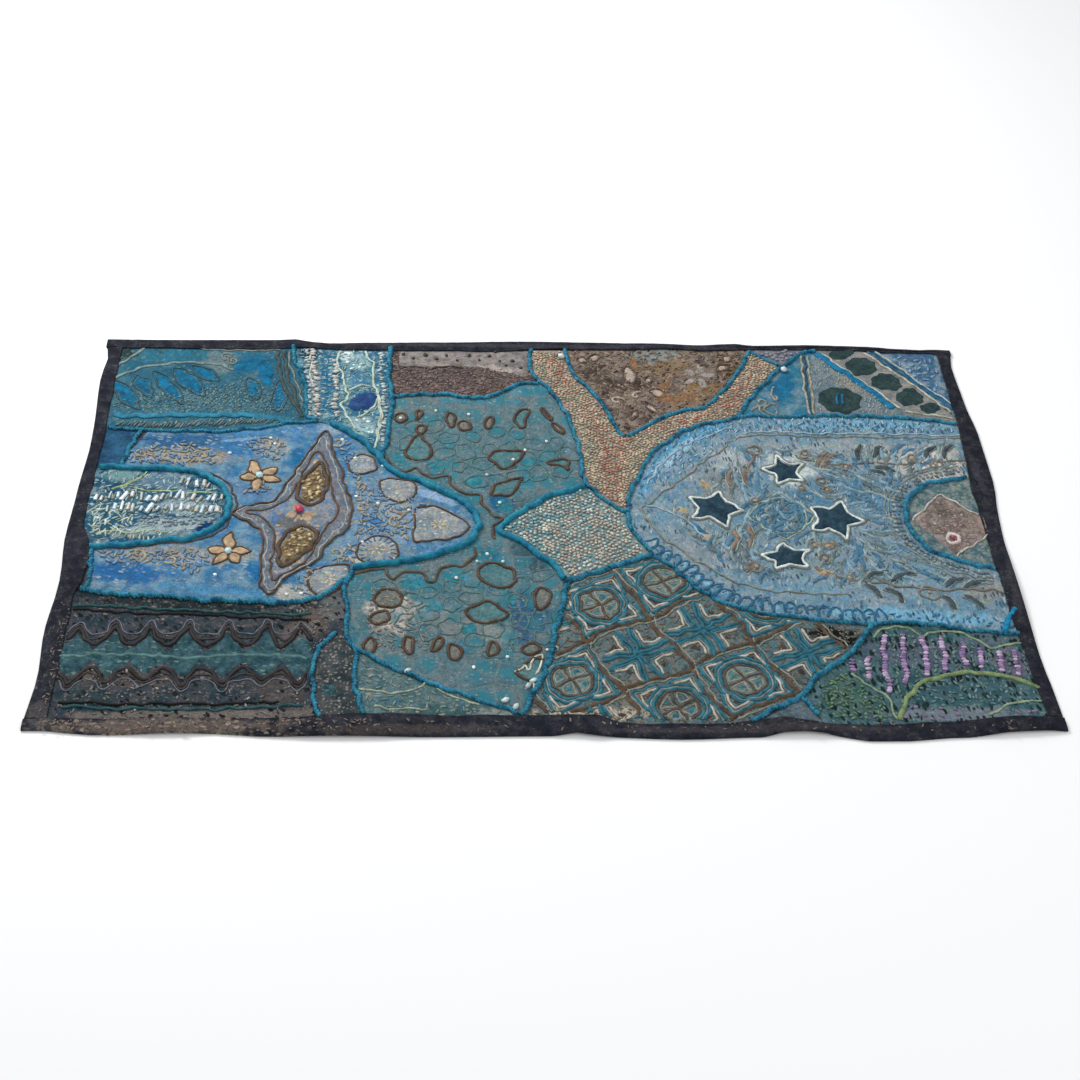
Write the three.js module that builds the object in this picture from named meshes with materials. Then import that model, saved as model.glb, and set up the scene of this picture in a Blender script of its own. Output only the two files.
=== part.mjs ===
// A patchwork wall hanging, laid out flat: one pieced and embroidered panel with a cotton
// binding strip sewn round each of its four sides. Millimetres, +X along the long side,
// +Y towards the edge that hangs uppermost, +Z up from the surface that it lies on.
import * as THREE from "three";

// Driving dimensions of the whole cloth.
const HALF_LENGTH = 760;
const HALF_HEIGHT = 450;
const PANEL_THICKNESS = 3;
const BINDING_THICKNESS = 3.4;
const SEAM_GAP = 0.3;

// How finely the panel is divided, in cells along X and along Y, and each strip across.
const PANEL_CELLS = { x: 48, y: 28 };
const STRIP_CELLS = 2;

// The four outer edges: how far each bows out of its nominal line, at places along it.
const TOP_EDGE = [
  { at: -760, out: 5 },
  { at: -700, out: 5 },
  { at: -430, out: 9 },
  { at: -400, out: 0 },
  { at: -280, out: 5 },
  { at: -180, out: 8 },
  { at: 0, out: 14 },
  { at: 130, out: 13 },
  { at: 280, out: 8 },
  { at: 370, out: 15 },
  { at: 400, out: 10 },
  { at: 500, out: 14 },
  { at: 600, out: 12 },
  { at: 700, out: -2 },
  { at: 760, out: 7 },
];
const BOTTOM_EDGE = [
  { at: -760, out: 0 },
  { at: -650, out: 10 },
  { at: -500, out: 7 },
  { at: -400, out: 13 },
  { at: -200, out: 13 },
  { at: 0, out: 11 },
  { at: 45, out: 7 },
  { at: 70, out: 13 },
  { at: 190, out: 17 },
  { at: 300, out: 13 },
  { at: 355, out: 5 },
  { at: 400, out: 8 },
  { at: 460, out: 20 },
  { at: 510, out: 20 },
  { at: 600, out: 13 },
  { at: 700, out: 3 },
  { at: 760, out: 0 },
];
const RIGHT_EDGE = [
  { at: -450, out: 0 },
  { at: -400, out: -2 },
  { at: -300, out: -7 },
  { at: -50, out: -7 },
  { at: 0, out: -3 },
  { at: 100, out: 7 },
  { at: 220, out: 7 },
  { at: 300, out: 0 },
  { at: 400, out: -3 },
  { at: 450, out: 3 },
];
const LEFT_EDGE = [
  { at: -450, out: 2 },
  { at: -350, out: -5 },
  { at: -260, out: 0 },
  { at: -150, out: -7 },
  { at: -50, out: 0 },
  { at: 50, out: -3 },
  { at: 170, out: -8 },
  { at: 200, out: -7 },
  { at: 350, out: 0 },
  { at: 400, out: -5 },
  { at: 450, out: 2 },
];

// How far each binding strip reaches in from its nominal line, at places along it.
const TOP_SEAM = [
  { at: -760, in: 20 },
  { at: -60, in: 18 },
  { at: 0, in: 10 },
  { at: 300, in: 10 },
  { at: 420, in: 3 },
  { at: 580, in: 2 },
  { at: 700, in: 12 },
  { at: 760, in: 14 },
];
const BOTTOM_SEAM = [
  { at: -760, in: 20 },
  { at: -400, in: 20 },
  { at: -280, in: 27 },
  { at: 50, in: 27 },
  { at: 110, in: 12 },
  { at: 220, in: 11 },
  { at: 300, in: 17 },
  { at: 350, in: 23 },
  { at: 400, in: 10 },
  { at: 500, in: 10 },
  { at: 600, in: 17 },
  { at: 760, in: 24 },
];
const RIGHT_SEAM = [
  { at: -450, in: 26 },
  { at: -400, in: 27 },
  { at: -200, in: 35 },
  { at: 80, in: 35 },
  { at: 220, in: 26 },
  { at: 450, in: 24 },
];
const LEFT_SEAM = [
  { at: -450, in: 32 },
  { at: -190, in: 33 },
  { at: -150, in: 46 },
  { at: -90, in: 44 },
  { at: -20, in: 25 },
  { at: 200, in: 28 },
  { at: 450, in: 27 },
];

// Low swells where the cloth stands off the surface: centre, half length, half width, the
// turn of the long way from +X in degrees, and height.
const SWELLS = [
  { x: -300, y: -440, long: 190, wide: 95, turn: 4, height: 6 },
  { x: 48, y: -455, long: 75, wide: 110, turn: 0, height: 6 },
  { x: 365, y: -455, long: 85, wide: 120, turn: 0, height: 8 },
  { x: 690, y: -440, long: 120, wide: 90, turn: -18, height: 6 },
  { x: -560, y: -450, long: 90, wide: 70, turn: 0, height: 4 },
  { x: -745, y: -110, long: 80, wide: 130, turn: 0, height: 5 },
  { x: 750, y: -160, long: 80, wide: 170, turn: 0, height: 5 },
  { x: -410, y: 440, long: 70, wide: 90, turn: 0, height: 5 },
  { x: 230, y: 455, long: 120, wide: 80, turn: 0, height: 4 },
  { x: 690, y: 440, long: 100, wide: 80, turn: 0, height: 5 },
  { x: -560, y: -140, long: 190, wide: 60, turn: 8, height: 5 },
  { x: -180, y: 60, long: 170, wide: 65, turn: -32, height: 5 },
  { x: 60, y: -230, long: 150, wide: 60, turn: 68, height: 5 },
  { x: 330, y: 170, long: 210, wide: 65, turn: 24, height: 6 },
  { x: 520, y: -190, long: 230, wide: 60, turn: -12, height: 6 },
  { x: -60, y: 330, long: 180, wide: 60, turn: 6, height: 4 },
];

// Reads a table at a place along its edge, easing from row to row.
function valueAt(rows, place, column) {
  if (place <= rows[0].at) return rows[0][column];
  for (let i = 1; i < rows.length; i++) {
    const a = rows[i - 1];
    const b = rows[i];
    if (place <= b.at) {
      const t = THREE.MathUtils.smoothstep(place, a.at, b.at);
      return THREE.MathUtils.lerp(a[column], b[column], t);
    }
  }
  return rows[rows.length - 1][column];
}

// The height of the cloth's underside over the surface: zero between the swells.
function liftAt(x, y) {
  let lift = 0;
  for (const swell of SWELLS) {
    const turn = THREE.MathUtils.degToRad(swell.turn);
    const dx = x - swell.x;
    const dy = y - swell.y;
    const along = (dx * Math.cos(turn) + dy * Math.sin(turn)) / swell.long;
    const across = (dy * Math.cos(turn) - dx * Math.sin(turn)) / swell.wide;
    const reach = Math.hypot(along, across);
    if (reach < 1) lift += swell.height * Math.cos((reach * Math.PI) / 2) ** 2;
  }
  return lift;
}

// Outer edges and inner seams as plan curves, each run from its low end to its high end.
const topEdge = (x) => HALF_HEIGHT + valueAt(TOP_EDGE, x, "out");
const bottomEdge = (x) => -HALF_HEIGHT - valueAt(BOTTOM_EDGE, x, "out");
const rightEdge = (y) => HALF_LENGTH + valueAt(RIGHT_EDGE, y, "out");
const leftEdge = (y) => -HALF_LENGTH - valueAt(LEFT_EDGE, y, "out");
const topSeam = (x) => HALF_HEIGHT - valueAt(TOP_SEAM, x, "in");
const bottomSeam = (x) => -HALF_HEIGHT + valueAt(BOTTOM_SEAM, x, "in");
const rightSeam = (y) => HALF_LENGTH - valueAt(RIGHT_SEAM, y, "in");
const leftSeam = (y) => -HALF_LENGTH + valueAt(LEFT_SEAM, y, "in");

// A closed sheet of cloth over a grid of cells: placeAt(i, j) gives the plan point of grid
// column i and row j, the underside follows the lift, and the top lies a thickness above.
function clothSheet(cells, thickness, placeAt) {
  const columns = cells.x + 1;
  const layer = columns * (cells.y + 1);
  const positions = [];
  for (const rise of [0, thickness]) {
    for (let j = 0; j <= cells.y; j++) {
      for (let i = 0; i <= cells.x; i++) {
        const [x, y] = placeAt(i, j);
        positions.push(x, y, liftAt(x, y) + rise);
      }
    }
  }
  const indices = [];
  const quad = (a, b, c, d) => indices.push(a, b, c, a, c, d);
  for (let j = 0; j < cells.y; j++) {
    for (let i = 0; i < cells.x; i++) {
      const a = j * columns + i;
      const b = a + 1;
      const c = b + columns;
      const d = a + columns;
      quad(a + layer, b + layer, c + layer, d + layer);
      indices.push(a, c, b, a, d, c);
    }
  }
  const rim = [];
  for (let i = 0; i < cells.x; i++) rim.push(i);
  for (let j = 0; j < cells.y; j++) rim.push(j * columns + cells.x);
  for (let i = cells.x; i > 0; i--) rim.push(cells.y * columns + i);
  for (let j = cells.y; j > 0; j--) rim.push(j * columns);
  rim.forEach((from, k) => {
    const to = rim[(k + 1) % rim.length];
    quad(from, to, to + layer, from + layer);
  });
  const geometry = new THREE.BufferGeometry();
  geometry.setAttribute("position", new THREE.Float32BufferAttribute(positions, 3));
  geometry.setIndex(indices);
  geometry.computeVertexNormals();
  return geometry;
}

// The patchwork panel fills the frame of seams.
function panelPlace(i, j) {
  const u = i / PANEL_CELLS.x;
  const v = j / PANEL_CELLS.y;
  const nominalX = THREE.MathUtils.lerp(-HALF_LENGTH, HALF_LENGTH, u);
  const nominalY = THREE.MathUtils.lerp(-HALF_HEIGHT, HALF_HEIGHT, v);
  return [
    THREE.MathUtils.lerp(leftSeam(nominalY), rightSeam(nominalY), u),
    THREE.MathUtils.lerp(bottomSeam(nominalX), topSeam(nominalX), v),
  ];
}

// The long strips run the cloth's whole length, corners and all: one column of cells at
// each corner, and between them the panel's own columns, a seam gap away from its edge.
// side is 1 for the top strip and -1 for the bottom one.
const LONG_CELLS = { x: PANEL_CELLS.x + 2, y: STRIP_CELLS };
function longStripPlace(side, outerEdge) {
  const panelRow = side > 0 ? PANEL_CELLS.y : 0;
  return (i, j) => {
    const panelColumn = THREE.MathUtils.clamp(i - 1, 0, PANEL_CELLS.x);
    const [panelX, panelY] = panelPlace(panelColumn, panelRow);
    const share = side > 0 ? j / STRIP_CELLS : 1 - j / STRIP_CELLS;
    const seamY = panelY + side * SEAM_GAP;
    const y = THREE.MathUtils.lerp(seamY, outerEdge(panelX), share);
    if (i === 0) return [leftEdge(y), y];
    if (i === LONG_CELLS.x) return [rightEdge(y), y];
    return [panelX, y];
  };
}

// The side strips fill the space between the long strips, a seam gap beyond the panel's
// ends, on the panel's own rows. side is 1 for the right strip and -1 for the left one.
const SIDE_CELLS = { x: STRIP_CELLS, y: PANEL_CELLS.y };
function sideStripPlace(side, outerEdge) {
  const panelColumn = side > 0 ? PANEL_CELLS.x : 0;
  return (i, j) => {
    const [panelX, y] = panelPlace(panelColumn, j);
    const share = side > 0 ? i / STRIP_CELLS : 1 - i / STRIP_CELLS;
    const seamX = panelX + side * SEAM_GAP;
    return [THREE.MathUtils.lerp(seamX, outerEdge(y), share), y];
  };
}

const bindingCotton = new THREE.MeshStandardMaterial({ color: 0x2f2e36, roughness: 0.92 });
const patchedCloth = new THREE.MeshStandardMaterial({ color: 0x5f8597, roughness: 0.85 });

const hanging = new THREE.Group();
function addPiece(name, geometry, material) {
  const mesh = new THREE.Mesh(geometry, material);
  mesh.name = name;
  hanging.add(mesh);
}

addPiece(
  "patchwork_panel",
  clothSheet(PANEL_CELLS, PANEL_THICKNESS, panelPlace),
  patchedCloth,
);
for (const strip of [
  { name: "binding_top", cells: LONG_CELLS, placeAt: longStripPlace(1, topEdge) },
  { name: "binding_bottom", cells: LONG_CELLS, placeAt: longStripPlace(-1, bottomEdge) },
  { name: "binding_right", cells: SIDE_CELLS, placeAt: sideStripPlace(1, rightEdge) },
  { name: "binding_left", cells: SIDE_CELLS, placeAt: sideStripPlace(-1, leftEdge) },
]) {
  addPiece(
    strip.name,
    clothSheet(strip.cells, BINDING_THICKNESS, strip.placeAt),
    bindingCotton,
  );
}

export default hanging;
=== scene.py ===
import math

import bmesh
import bpy
import numpy as np
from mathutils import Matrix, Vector, noise
from mathutils.bvhtree import BVHTree
from mathutils.geometry import delaunay_2d_cdt


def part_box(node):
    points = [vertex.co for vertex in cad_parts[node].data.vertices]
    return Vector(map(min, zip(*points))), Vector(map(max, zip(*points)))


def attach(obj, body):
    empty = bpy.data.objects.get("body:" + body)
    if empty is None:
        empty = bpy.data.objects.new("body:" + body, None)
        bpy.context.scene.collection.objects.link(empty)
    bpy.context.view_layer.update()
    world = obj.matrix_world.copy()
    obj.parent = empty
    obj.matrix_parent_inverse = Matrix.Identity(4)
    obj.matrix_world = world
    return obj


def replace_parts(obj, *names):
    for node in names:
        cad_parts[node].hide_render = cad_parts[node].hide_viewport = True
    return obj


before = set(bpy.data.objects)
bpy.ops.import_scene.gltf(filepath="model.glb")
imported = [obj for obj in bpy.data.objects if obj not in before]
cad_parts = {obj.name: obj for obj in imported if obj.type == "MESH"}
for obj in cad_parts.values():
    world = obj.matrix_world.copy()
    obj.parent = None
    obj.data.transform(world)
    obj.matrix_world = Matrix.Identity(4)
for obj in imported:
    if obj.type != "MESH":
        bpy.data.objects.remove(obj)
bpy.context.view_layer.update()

# ---------------- view and light
# The cloth lies on a pale floor and is seen from over its lower edge, a little to the left.
# A wide soft lamp stands behind and to the left, and the room's own light fills the rest.
scene = bpy.context.scene
view_data = bpy.data.cameras.new("view")
view_data.sensor_width = 36
view_data.lens = 60
view_camera = bpy.data.objects.new("view", view_data)
view_camera.location = (-0.1633, -2.1315, 2.012)
view_camera.rotation_euler = tuple(math.radians(turn) for turn in (45.989, -2.453, -1.965))
scene.collection.objects.link(view_camera)
scene.camera = view_camera
scene.view_settings.view_transform = "Standard"

LAMPS = [("window_light", (-1.5, 1.9, 1.9), 1.1, 78), ("fill_light", (1.8, -1.6, 2.4), 2.2, 20)]
for lamp_name, lamp_place, lamp_size, lamp_watts in LAMPS:
    lamp_data = bpy.data.lights.new(lamp_name, "AREA")
    lamp_data.size = lamp_size
    lamp_data.energy = lamp_watts
    lamp = bpy.data.objects.new(lamp_name, lamp_data)
    lamp.location = lamp_place
    lamp.rotation_euler = (-Vector(lamp_place)).to_track_quat("-Z", "Y").to_euler()
    scene.collection.objects.link(lamp)

room = bpy.data.worlds.new("room")
room.use_nodes = True
room_light = room.node_tree.nodes["Background"]
room_light.inputs["Color"].default_value = (0.97, 0.985, 1, 1)
room_light.inputs["Strength"].default_value = 0.62
scene.world = room

floor_mesh = bpy.data.meshes.new("floor")
floor_form = bmesh.new()
bmesh.ops.create_grid(floor_form, x_segments=1, y_segments=1, size=30)
floor_form.to_mesh(floor_mesh)
floor_form.free()
floor = bpy.data.objects.new("floor", floor_mesh)
scene.collection.objects.link(floor)
floor_paint = bpy.data.materials.new("pale_floor")
floor_paint.use_nodes = True
paint = floor_paint.node_tree.nodes["Principled BSDF"]
paint.inputs["Base Color"].default_value = (0.93, 0.93, 0.93, 1)
paint.inputs["Roughness"].default_value = 0.9
floor_mesh.materials.append(floor_paint)

# ---------------- lie of the cloth
# One millimetre of the hanging's own pattern, in metres, from the length of its panel, so
# that every scrap below is placed in millimetres from the panel's middle.
PANEL_LENGTH = 1471
panel_low, panel_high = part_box("patchwork_panel")
mm = (panel_high.x - panel_low.x) / PANEL_LENGTH

# The seams where two scraps meet, and so the edges of the scraps: each one is covered by a
# cord. Three are wound smooth with satin thread; the rest are couched down yarn.
ROUTES = dict(
    leaf_edge=[(-430, 440), (-427, 410), (-417, 378), (-405, 335), (-399, 290), (-394, 250), (-378, 236)],
    strip_edge=[(-257, 440), (-259, 400), (-258, 350), (-253, 312), (-250, 285), (-255, 240), (-257, 190),
        (-263, 158), (-266, 140)],
    brown_edge=[(-250, 301), (-225, 306), (-190, 309), (-150, 305), (-105, 300), (-78, 304), (-58, 320),
        (-32, 336), (2, 345)],
    band_left=[(-8, 440), (-9, 408), (-4, 372), (8, 348), (28, 318), (42, 285), (54, 245), (62, 205),
        (67, 165), (69, 130), (71, 100), (79, 78), (93, 55), (110, 36), (126, 22), (139, 14)],
    band_fork_left=[(57, 440), (60, 405), (68, 372), (82, 345), (100, 318), (112, 295), (121, 268),
        (131, 238), (141, 214), (148, 204)],
    band_fork_right=[(158, 203), (180, 225), (203, 242), (232, 262), (262, 273), (292, 285), (312, 301),
        (332, 327), (352, 357), (368, 388), (380, 415), (390, 444)],
    band_right=[(445, 400), (427, 375), (405, 347), (388, 322), (370, 296), (356, 268), (346, 255)],
    corner_left=[(392, 442), (408, 428), (428, 412), (444, 401)],
    corner_right=[(446, 400), (462, 415), (480, 432), (497, 444), (516, 449)],
    arch_upper=[(140, 14), (143, 35), (152, 65), (165, 100), (182, 138), (203, 172), (230, 200), (258, 222),
        (290, 238), (320, 246), (350, 256), (388, 261), (430, 258), (480, 262), (530, 264), (580, 262),
        (640, 259), (700, 252), (733, 243)],
    arch_lower=[(140, 12), (139, -6), (143, -26), (156, -56), (175, -87), (200, -110), (222, -137),
        (245, -165), (272, -187), (300, -204), (340, -215), (380, -222), (430, -229), (500, -237),
        (560, -234), (640, -246), (700, -254), (728, -256)],
    diamond_left=[(74, 73), (40, 62), (8, 46), (-18, 25), (-46, -1), (-68, -24), (-66, -36), (-44, -54),
        (-19, -76), (3, -98), (20, -121), (29, -144)],
    diamond_lower=[(30, -150), (55, -138), (85, -124), (120, -109), (150, -96), (177, -85)],
    yoke_right=[(-354, 227), (-322, 206), (-296, 180), (-273, 150), (-258, 121), (-235, 100), (-205, 82),
        (-170, 60), (-140, 40), (-117, 17), (-105, -8), (-104, -34), (-120, -57), (-150, -78), (-190, -96),
        (-230, -107), (-265, -114), (-302, -121)],
    yoke_lower=[(-304, -124), (-313, -143), (-332, -166), (-352, -183), (-385, -194), (-440, -196),
        (-500, -192), (-560, -188), (-610, -184), (-660, -179), (-716, -172)],
    yoke_left=[(-712, -84), (-711, -120), (-708, -169)],
    yoke_upper=[(-380, 233), (-430, 228), (-480, 214), (-540, 205), (-600, 205), (-660, 207), (-728, 212)],
    corner_piece=[(-674, 203), (-680, 180), (-688, 150), (-692, 116)],
    half_round_left=[(-728, 112), (-700, 111), (-640, 109), (-592, 105), (-552, 93), (-527, 70), (-513, 42),
        (-508, 12), (-514, -14), (-532, -36), (-562, -52), (-602, -62), (-665, -70), (-715, -78)],
    dark_edge=[(-322, -258), (-333, -270), (-347, -292), (-354, -320), (-351, -360), (-348, -395),
        (-339, -428)],
    narrow_edge=[(-308, -130), (-312, -170), (-309, -215), (-308, -250), (-302, -278), (-292, -305),
        (-292, -340), (-289, -370), (-281, -400), (-273, -424)],
    lower_diagonal=[(-296, -292), (-265, -312), (-230, -333), (-190, -356), (-150, -374), (-115, -390),
        (-78, -405), (-52, -420)],
    tile_left=[(31, -153), (27, -180), (22, -215), (12, -252), (4, -290), (-6, -325), (-20, -365),
        (-36, -400), (-48, -421)],
    tile_right=[(500, -240), (488, -262), (470, -287), (448, -308), (420, -328), (400, -345), (388, -368),
        (372, -390), (345, -403), (315, -419), (292, -432)],
    wedge_edge=[(374, -393), (384, -408), (393, -424)],
    half_round_right=[(723, 108), (700, 101), (664, 92), (636, 77), (616, 53), (604, 25), (600, -5),
        (605, -33), (620, -60), (642, -82), (672, -99), (702, -111), (722, -116)])
SATIN_CORDS = ("diamond_left", "yoke_right", "half_round_left")
CORD_WIDTHS = dict(strip_edge=10, diamond_left=11, diamond_lower=11, yoke_right=12, yoke_lower=10,
    half_round_left=11, tile_left=10, tile_right=10, half_round_right=10, corner_left=7, yoke_upper=7)


def even_line(points, step, closed=False):
    """Evenly spaced points on the smooth line through a few given ones."""
    given = np.array(points, float)
    if closed:
        given = np.vstack([given[-1], given, given[0], given[1]])
    else:
        given = np.vstack([2 * given[0] - given[1], given, 2 * given[-1] - given[-2]])
    share = np.linspace(0.0, 1.0, 12, endpoint=False)[:, None]
    run = []
    for a, b, c, d in zip(given, given[1:], given[2:], given[3:]):
        run.append(0.5 * (2 * b + (c - a) * share + (2 * a - 5 * b + 4 * c - d) * share**2
            + (3 * b - a - 3 * c + d) * share**3))
    line = np.vstack(run + [given[-2]])
    reach = np.concatenate([[0.0], np.cumsum(np.linalg.norm(np.diff(line, axis=0), axis=1))])
    count = max(int(round(reach[-1] / step)), 2)
    places = np.linspace(0.0, reach[-1], count + 1)
    if closed:
        places = places[:-1]
    return np.stack([np.interp(places, reach, line[:, k]) for k in (0, 1)], axis=1)


def strip_edges(node, along):
    """The low and high side of a binding strip of the solids, along its length."""
    points = np.array([v.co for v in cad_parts[node].data.vertices]) / mm
    stations = np.unique(np.round(points[:, along], 1))
    across = 1 - along
    low = np.array([points[np.abs(points[:, along] - s) < 9, across].min() for s in stations])
    high = np.array([points[np.abs(points[:, along] - s) < 9, across].max() for s in stations])
    return stations, low, high


seam_top = strip_edges("binding_top", 0)
seam_bottom = strip_edges("binding_bottom", 0)
seam_left = strip_edges("binding_left", 1)
seam_right = strip_edges("binding_right", 1)

# The height of the sheet, read from the solids on a square net, then eased over their
# facets. The cloth puckers a little all over and sinks where a seam pulls it down.
NET_STEP = 4.0
net_x = np.arange(-784.0, 785.0, NET_STEP)
net_y = np.arange(-488.0, 489.0, NET_STEP)
solid_points, solid_faces = [], []
for cad_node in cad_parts.values():
    start = len(solid_points)
    solid_points += [v.co.copy() for v in cad_node.data.vertices]
    solid_faces += [tuple(start + k for k in p.vertices) for p in cad_node.data.polygons]
solids = BVHTree.FromPolygons(solid_points, solid_faces)
ABOVE = 200 * mm


def solid_top(x, y):
    """The solids' upper face over a plan point, or their nearest edge beyond it."""
    hit = solids.ray_cast(Vector((x, y, ABOVE)), Vector((0, 0, -1)))[0]
    if hit is None:
        hit = solids.find_nearest(Vector((x, y, 0)))[0]
        return -1 if hit is None else hit.z
    return hit.z


coarse = 2  # the solids are read at every second place of the net
lift = np.array([[solid_top(x * mm, y * mm) / mm for x in net_x[::coarse]] for y in net_y[::coarse]])
lift = np.array([np.interp(net_x, net_x[::coarse], row) for row in lift])
lift = np.array([np.interp(net_y, net_y[::coarse], column) for column in lift.T]).T


def eased(values, rounds):
    """Values on the net, averaged with their neighbours a few times over."""
    for _ in range(rounds):
        padded = np.pad(values, 1, mode="edge")
        values = (padded[:-2, 1:-1] + padded[2:, 1:-1] + padded[1:-1, :-2] + padded[1:-1, 2:]
            + 2 * padded[1:-1, 1:-1]) / 6
    return values


SHEET_TOP = 3
lift = np.maximum(eased(lift, 8) - SHEET_TOP, 0)
net_plan = np.stack(np.meshgrid(net_x, net_y), axis=-1).reshape(-1, 2)
binding_folds = [np.stack([seam_top[0], seam_top[1]], axis=1),
    np.stack([seam_bottom[0], seam_bottom[2]], axis=1), np.stack([seam_left[2], seam_left[0]], axis=1),
    np.stack([seam_right[1], seam_right[0]], axis=1)]
seam_points = np.vstack([even_line(route, 5.0) for route in ROUTES.values()]
    + [even_line(fold, 5) for fold in binding_folds])
from_seam = np.full(len(net_plan), 1e9)
for some in np.array_split(seam_points, 24):
    gap = net_plan[:, None, :] - some[None, :, :]
    from_seam = np.minimum(from_seam, (gap**2).sum(axis=2).min(axis=1))
from_seam = np.sqrt(from_seam).reshape(len(net_y), len(net_x))

pucker = np.zeros_like(lift)
for long_way, short_way, depth, seed in ((46, 23, 1.5, 3), (19, 27, 0.9, 11)):
    pucker += depth * np.array([[noise.noise(Vector((x / long_way, y / short_way, seed))) for x in net_x]
        for y in net_y])
SEAM_TOP, SEAM_SINK, SEAM_REACH = 2, 1, 11
away = 1 - np.exp(-from_seam / SEAM_REACH)
cloth_top = lift + SEAM_TOP + pucker * away + SEAM_SINK * away


def net_value(net, x, y):
    """A value on the net, between its points."""
    i = np.clip((np.asarray(x, float) - net_x[0]) / NET_STEP, 0, len(net_x) - 1.001)
    j = np.clip((np.asarray(y, float) - net_y[0]) / NET_STEP, 0, len(net_y) - 1.001)
    i0, j0 = i.astype(int), j.astype(int)
    s, t = i - i0, j - j0
    return ((net[j0, i0] * (1 - s) + net[j0, i0 + 1] * s) * (1 - t) + (net[j0 + 1, i0] * (1 - s)
        + net[j0 + 1, i0 + 1] * s) * t)


def top_at(x, y):
    """The height of the scraps' upper face, in millimetres."""
    return net_value(cloth_top, x, y)


SWAY = 13
chance = np.random.default_rng(11)
sways = [SWAY * eased(chance.uniform(-1, 1, lift.shape), 5) for _ in range(2)]


def by_hand(points):
    """Plan points moved a little, as no two hand-sewn shapes are alike."""
    x, y = np.array(points, float).T
    return np.stack([x + net_value(sways[0], x, y), y + net_value(sways[1], x, y)], axis=1)


# ---------------- ground cloth
# The plain cotton that every scrap is sewn down on. It shows at the back, and in the few
# slits between scraps. It is one thin sheet, and its underside rests on the floor.


def shown(name, mesh, finish):
    """A finished piece: its mesh placed as it is, with a finish, riding on the cloth."""
    mesh.materials.append(finish)
    piece = bpy.data.objects.new(name, mesh)
    scene.collection.objects.link(piece)
    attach(piece, "root")
    return piece


def inside(points, outline):
    """Which plan points lie inside a closed outline."""
    x, y = points[:, 0][:, None], points[:, 1][:, None]
    a, b = outline, np.roll(outline, -1, axis=0)
    straddles = (a[:, 1] > y) != (b[:, 1] > y)
    rise = np.where(b[:, 1] == a[:, 1], 1e-9, b[:, 1] - a[:, 1])
    crossing = a[:, 0] + (y - a[:, 1]) / rise * (b[:, 0] - a[:, 0])
    return (straddles & (x < crossing)).sum(axis=1) % 2 == 1


def from_outline(points, outline):
    """How far plan points lie from a closed outline."""
    a, b = outline, np.roll(outline, -1, axis=0)
    run = b - a
    length = np.maximum((run**2).sum(axis=1), 1e-9)
    far = []
    for some in np.array_split(points, max(len(points) // 400, 1)):
        share = ((some[:, None, :] - a) * run).sum(axis=2) / length
        near = a + np.clip(share, 0, 1)[..., None] * run
        far.append(np.sqrt(((some[:, None, :] - near) ** 2).sum(axis=2)).min(axis=1))
    return np.concatenate(far)


def dense_outline(outline, spacing):
    """A closed outline with points no further apart than the spacing, its corners kept."""
    given = np.array(outline, float)
    run = []
    for a, b in zip(given, np.roll(given, -1, axis=0)):
        count = max(int(math.ceil(np.linalg.norm(b - a) / spacing)), 1)
        run.append(a + (b - a) * np.linspace(0, 1, count, endpoint=False)[:, None])
    return np.vstack(run)


def plan_net(outline, spacing):
    """Points and triangles that fill a closed outline."""
    rim = dense_outline(outline, spacing)
    low, high = rim.min(axis=0), rim.max(axis=0)
    rows = np.arange(low[1] + spacing / 2, high[1], spacing * 0.87)
    columns = np.arange(low[0] - spacing, high[0] + spacing, spacing)
    fill = np.array([(x + (k % 2) * spacing / 2, y) for k, y in enumerate(rows)
        for x in columns]).reshape(-1, 2)
    fill = fill[inside(fill, rim)]
    fill = fill[from_outline(fill, rim) > 0.5 * spacing] if len(fill) else fill
    points = np.vstack([rim, fill])
    sides = [(k, (k + 1) % len(rim)) for k in range(len(rim))]
    made = delaunay_2d_cdt([Vector(p) for p in points.tolist()], sides, [], 1, 1e-4)
    return np.array([tuple(p) for p in made[0]]), made[2], rim


def sheet_mesh(name, pieces, spacing, height):
    """A mesh of one or more flat shapes, each point lifted to height(points, rim)."""
    form = bmesh.new()
    for outline in pieces:
        plan, triangles, rim = plan_net(outline, spacing)
        levels = height(plan, rim)
        corners = [form.verts.new((x * mm, y * mm, z * mm))
            for (x, y), z in zip(plan.tolist(), levels.tolist())]
        for triangle in triangles:
            form.faces.new([corners[k] for k in triangle])
    bmesh.ops.remove_doubles(form, verts=form.verts[:], dist=0.02 * mm)
    bmesh.ops.recalc_face_normals(form, faces=form.faces[:])
    if sum(face.normal.z for face in form.faces) < 0:
        bmesh.ops.reverse_faces(form, faces=form.faces[:])
    plan_map = form.loops.layers.uv.new("OFBake")
    spots = np.array([v.co[:2] for v in form.verts])
    left, low = spots.min(axis=0)
    wide = np.ptp(spots, axis=0).max() * 1.02
    for face in form.faces:
        face.smooth = True
        for corner in face.loops:
            corner[plan_map].uv = (0.01 + (corner.vert.co.x - left) / wide, 0.01
                + (corner.vert.co.y - low) / wide)
    mesh = bpy.data.meshes.new(name)
    form.to_mesh(mesh)
    form.free()
    return mesh


def srgb(colour):
    """A colour written 0xRRGGBB, as light."""
    return tuple(((v / 255 + 0.055) / 1.055) ** 2.4 if v > 10 else v / 3294
        for v in colour.to_bytes(3, "big"))


def node_in(tree, kind, feeds=(), **settings):
    """A shader node of a kind, its inputs fed by sockets or set to values."""
    made = tree.nodes.new("ShaderNode" + kind)
    for key, value in settings.items():
        setattr(made, key, value)
    for key, feed in dict(feeds).items():
        if isinstance(feed, bpy.types.NodeSocket):
            tree.links.new(feed, made.inputs[key])
        else:
            made.inputs[key].default_value = feed
    return made


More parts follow.
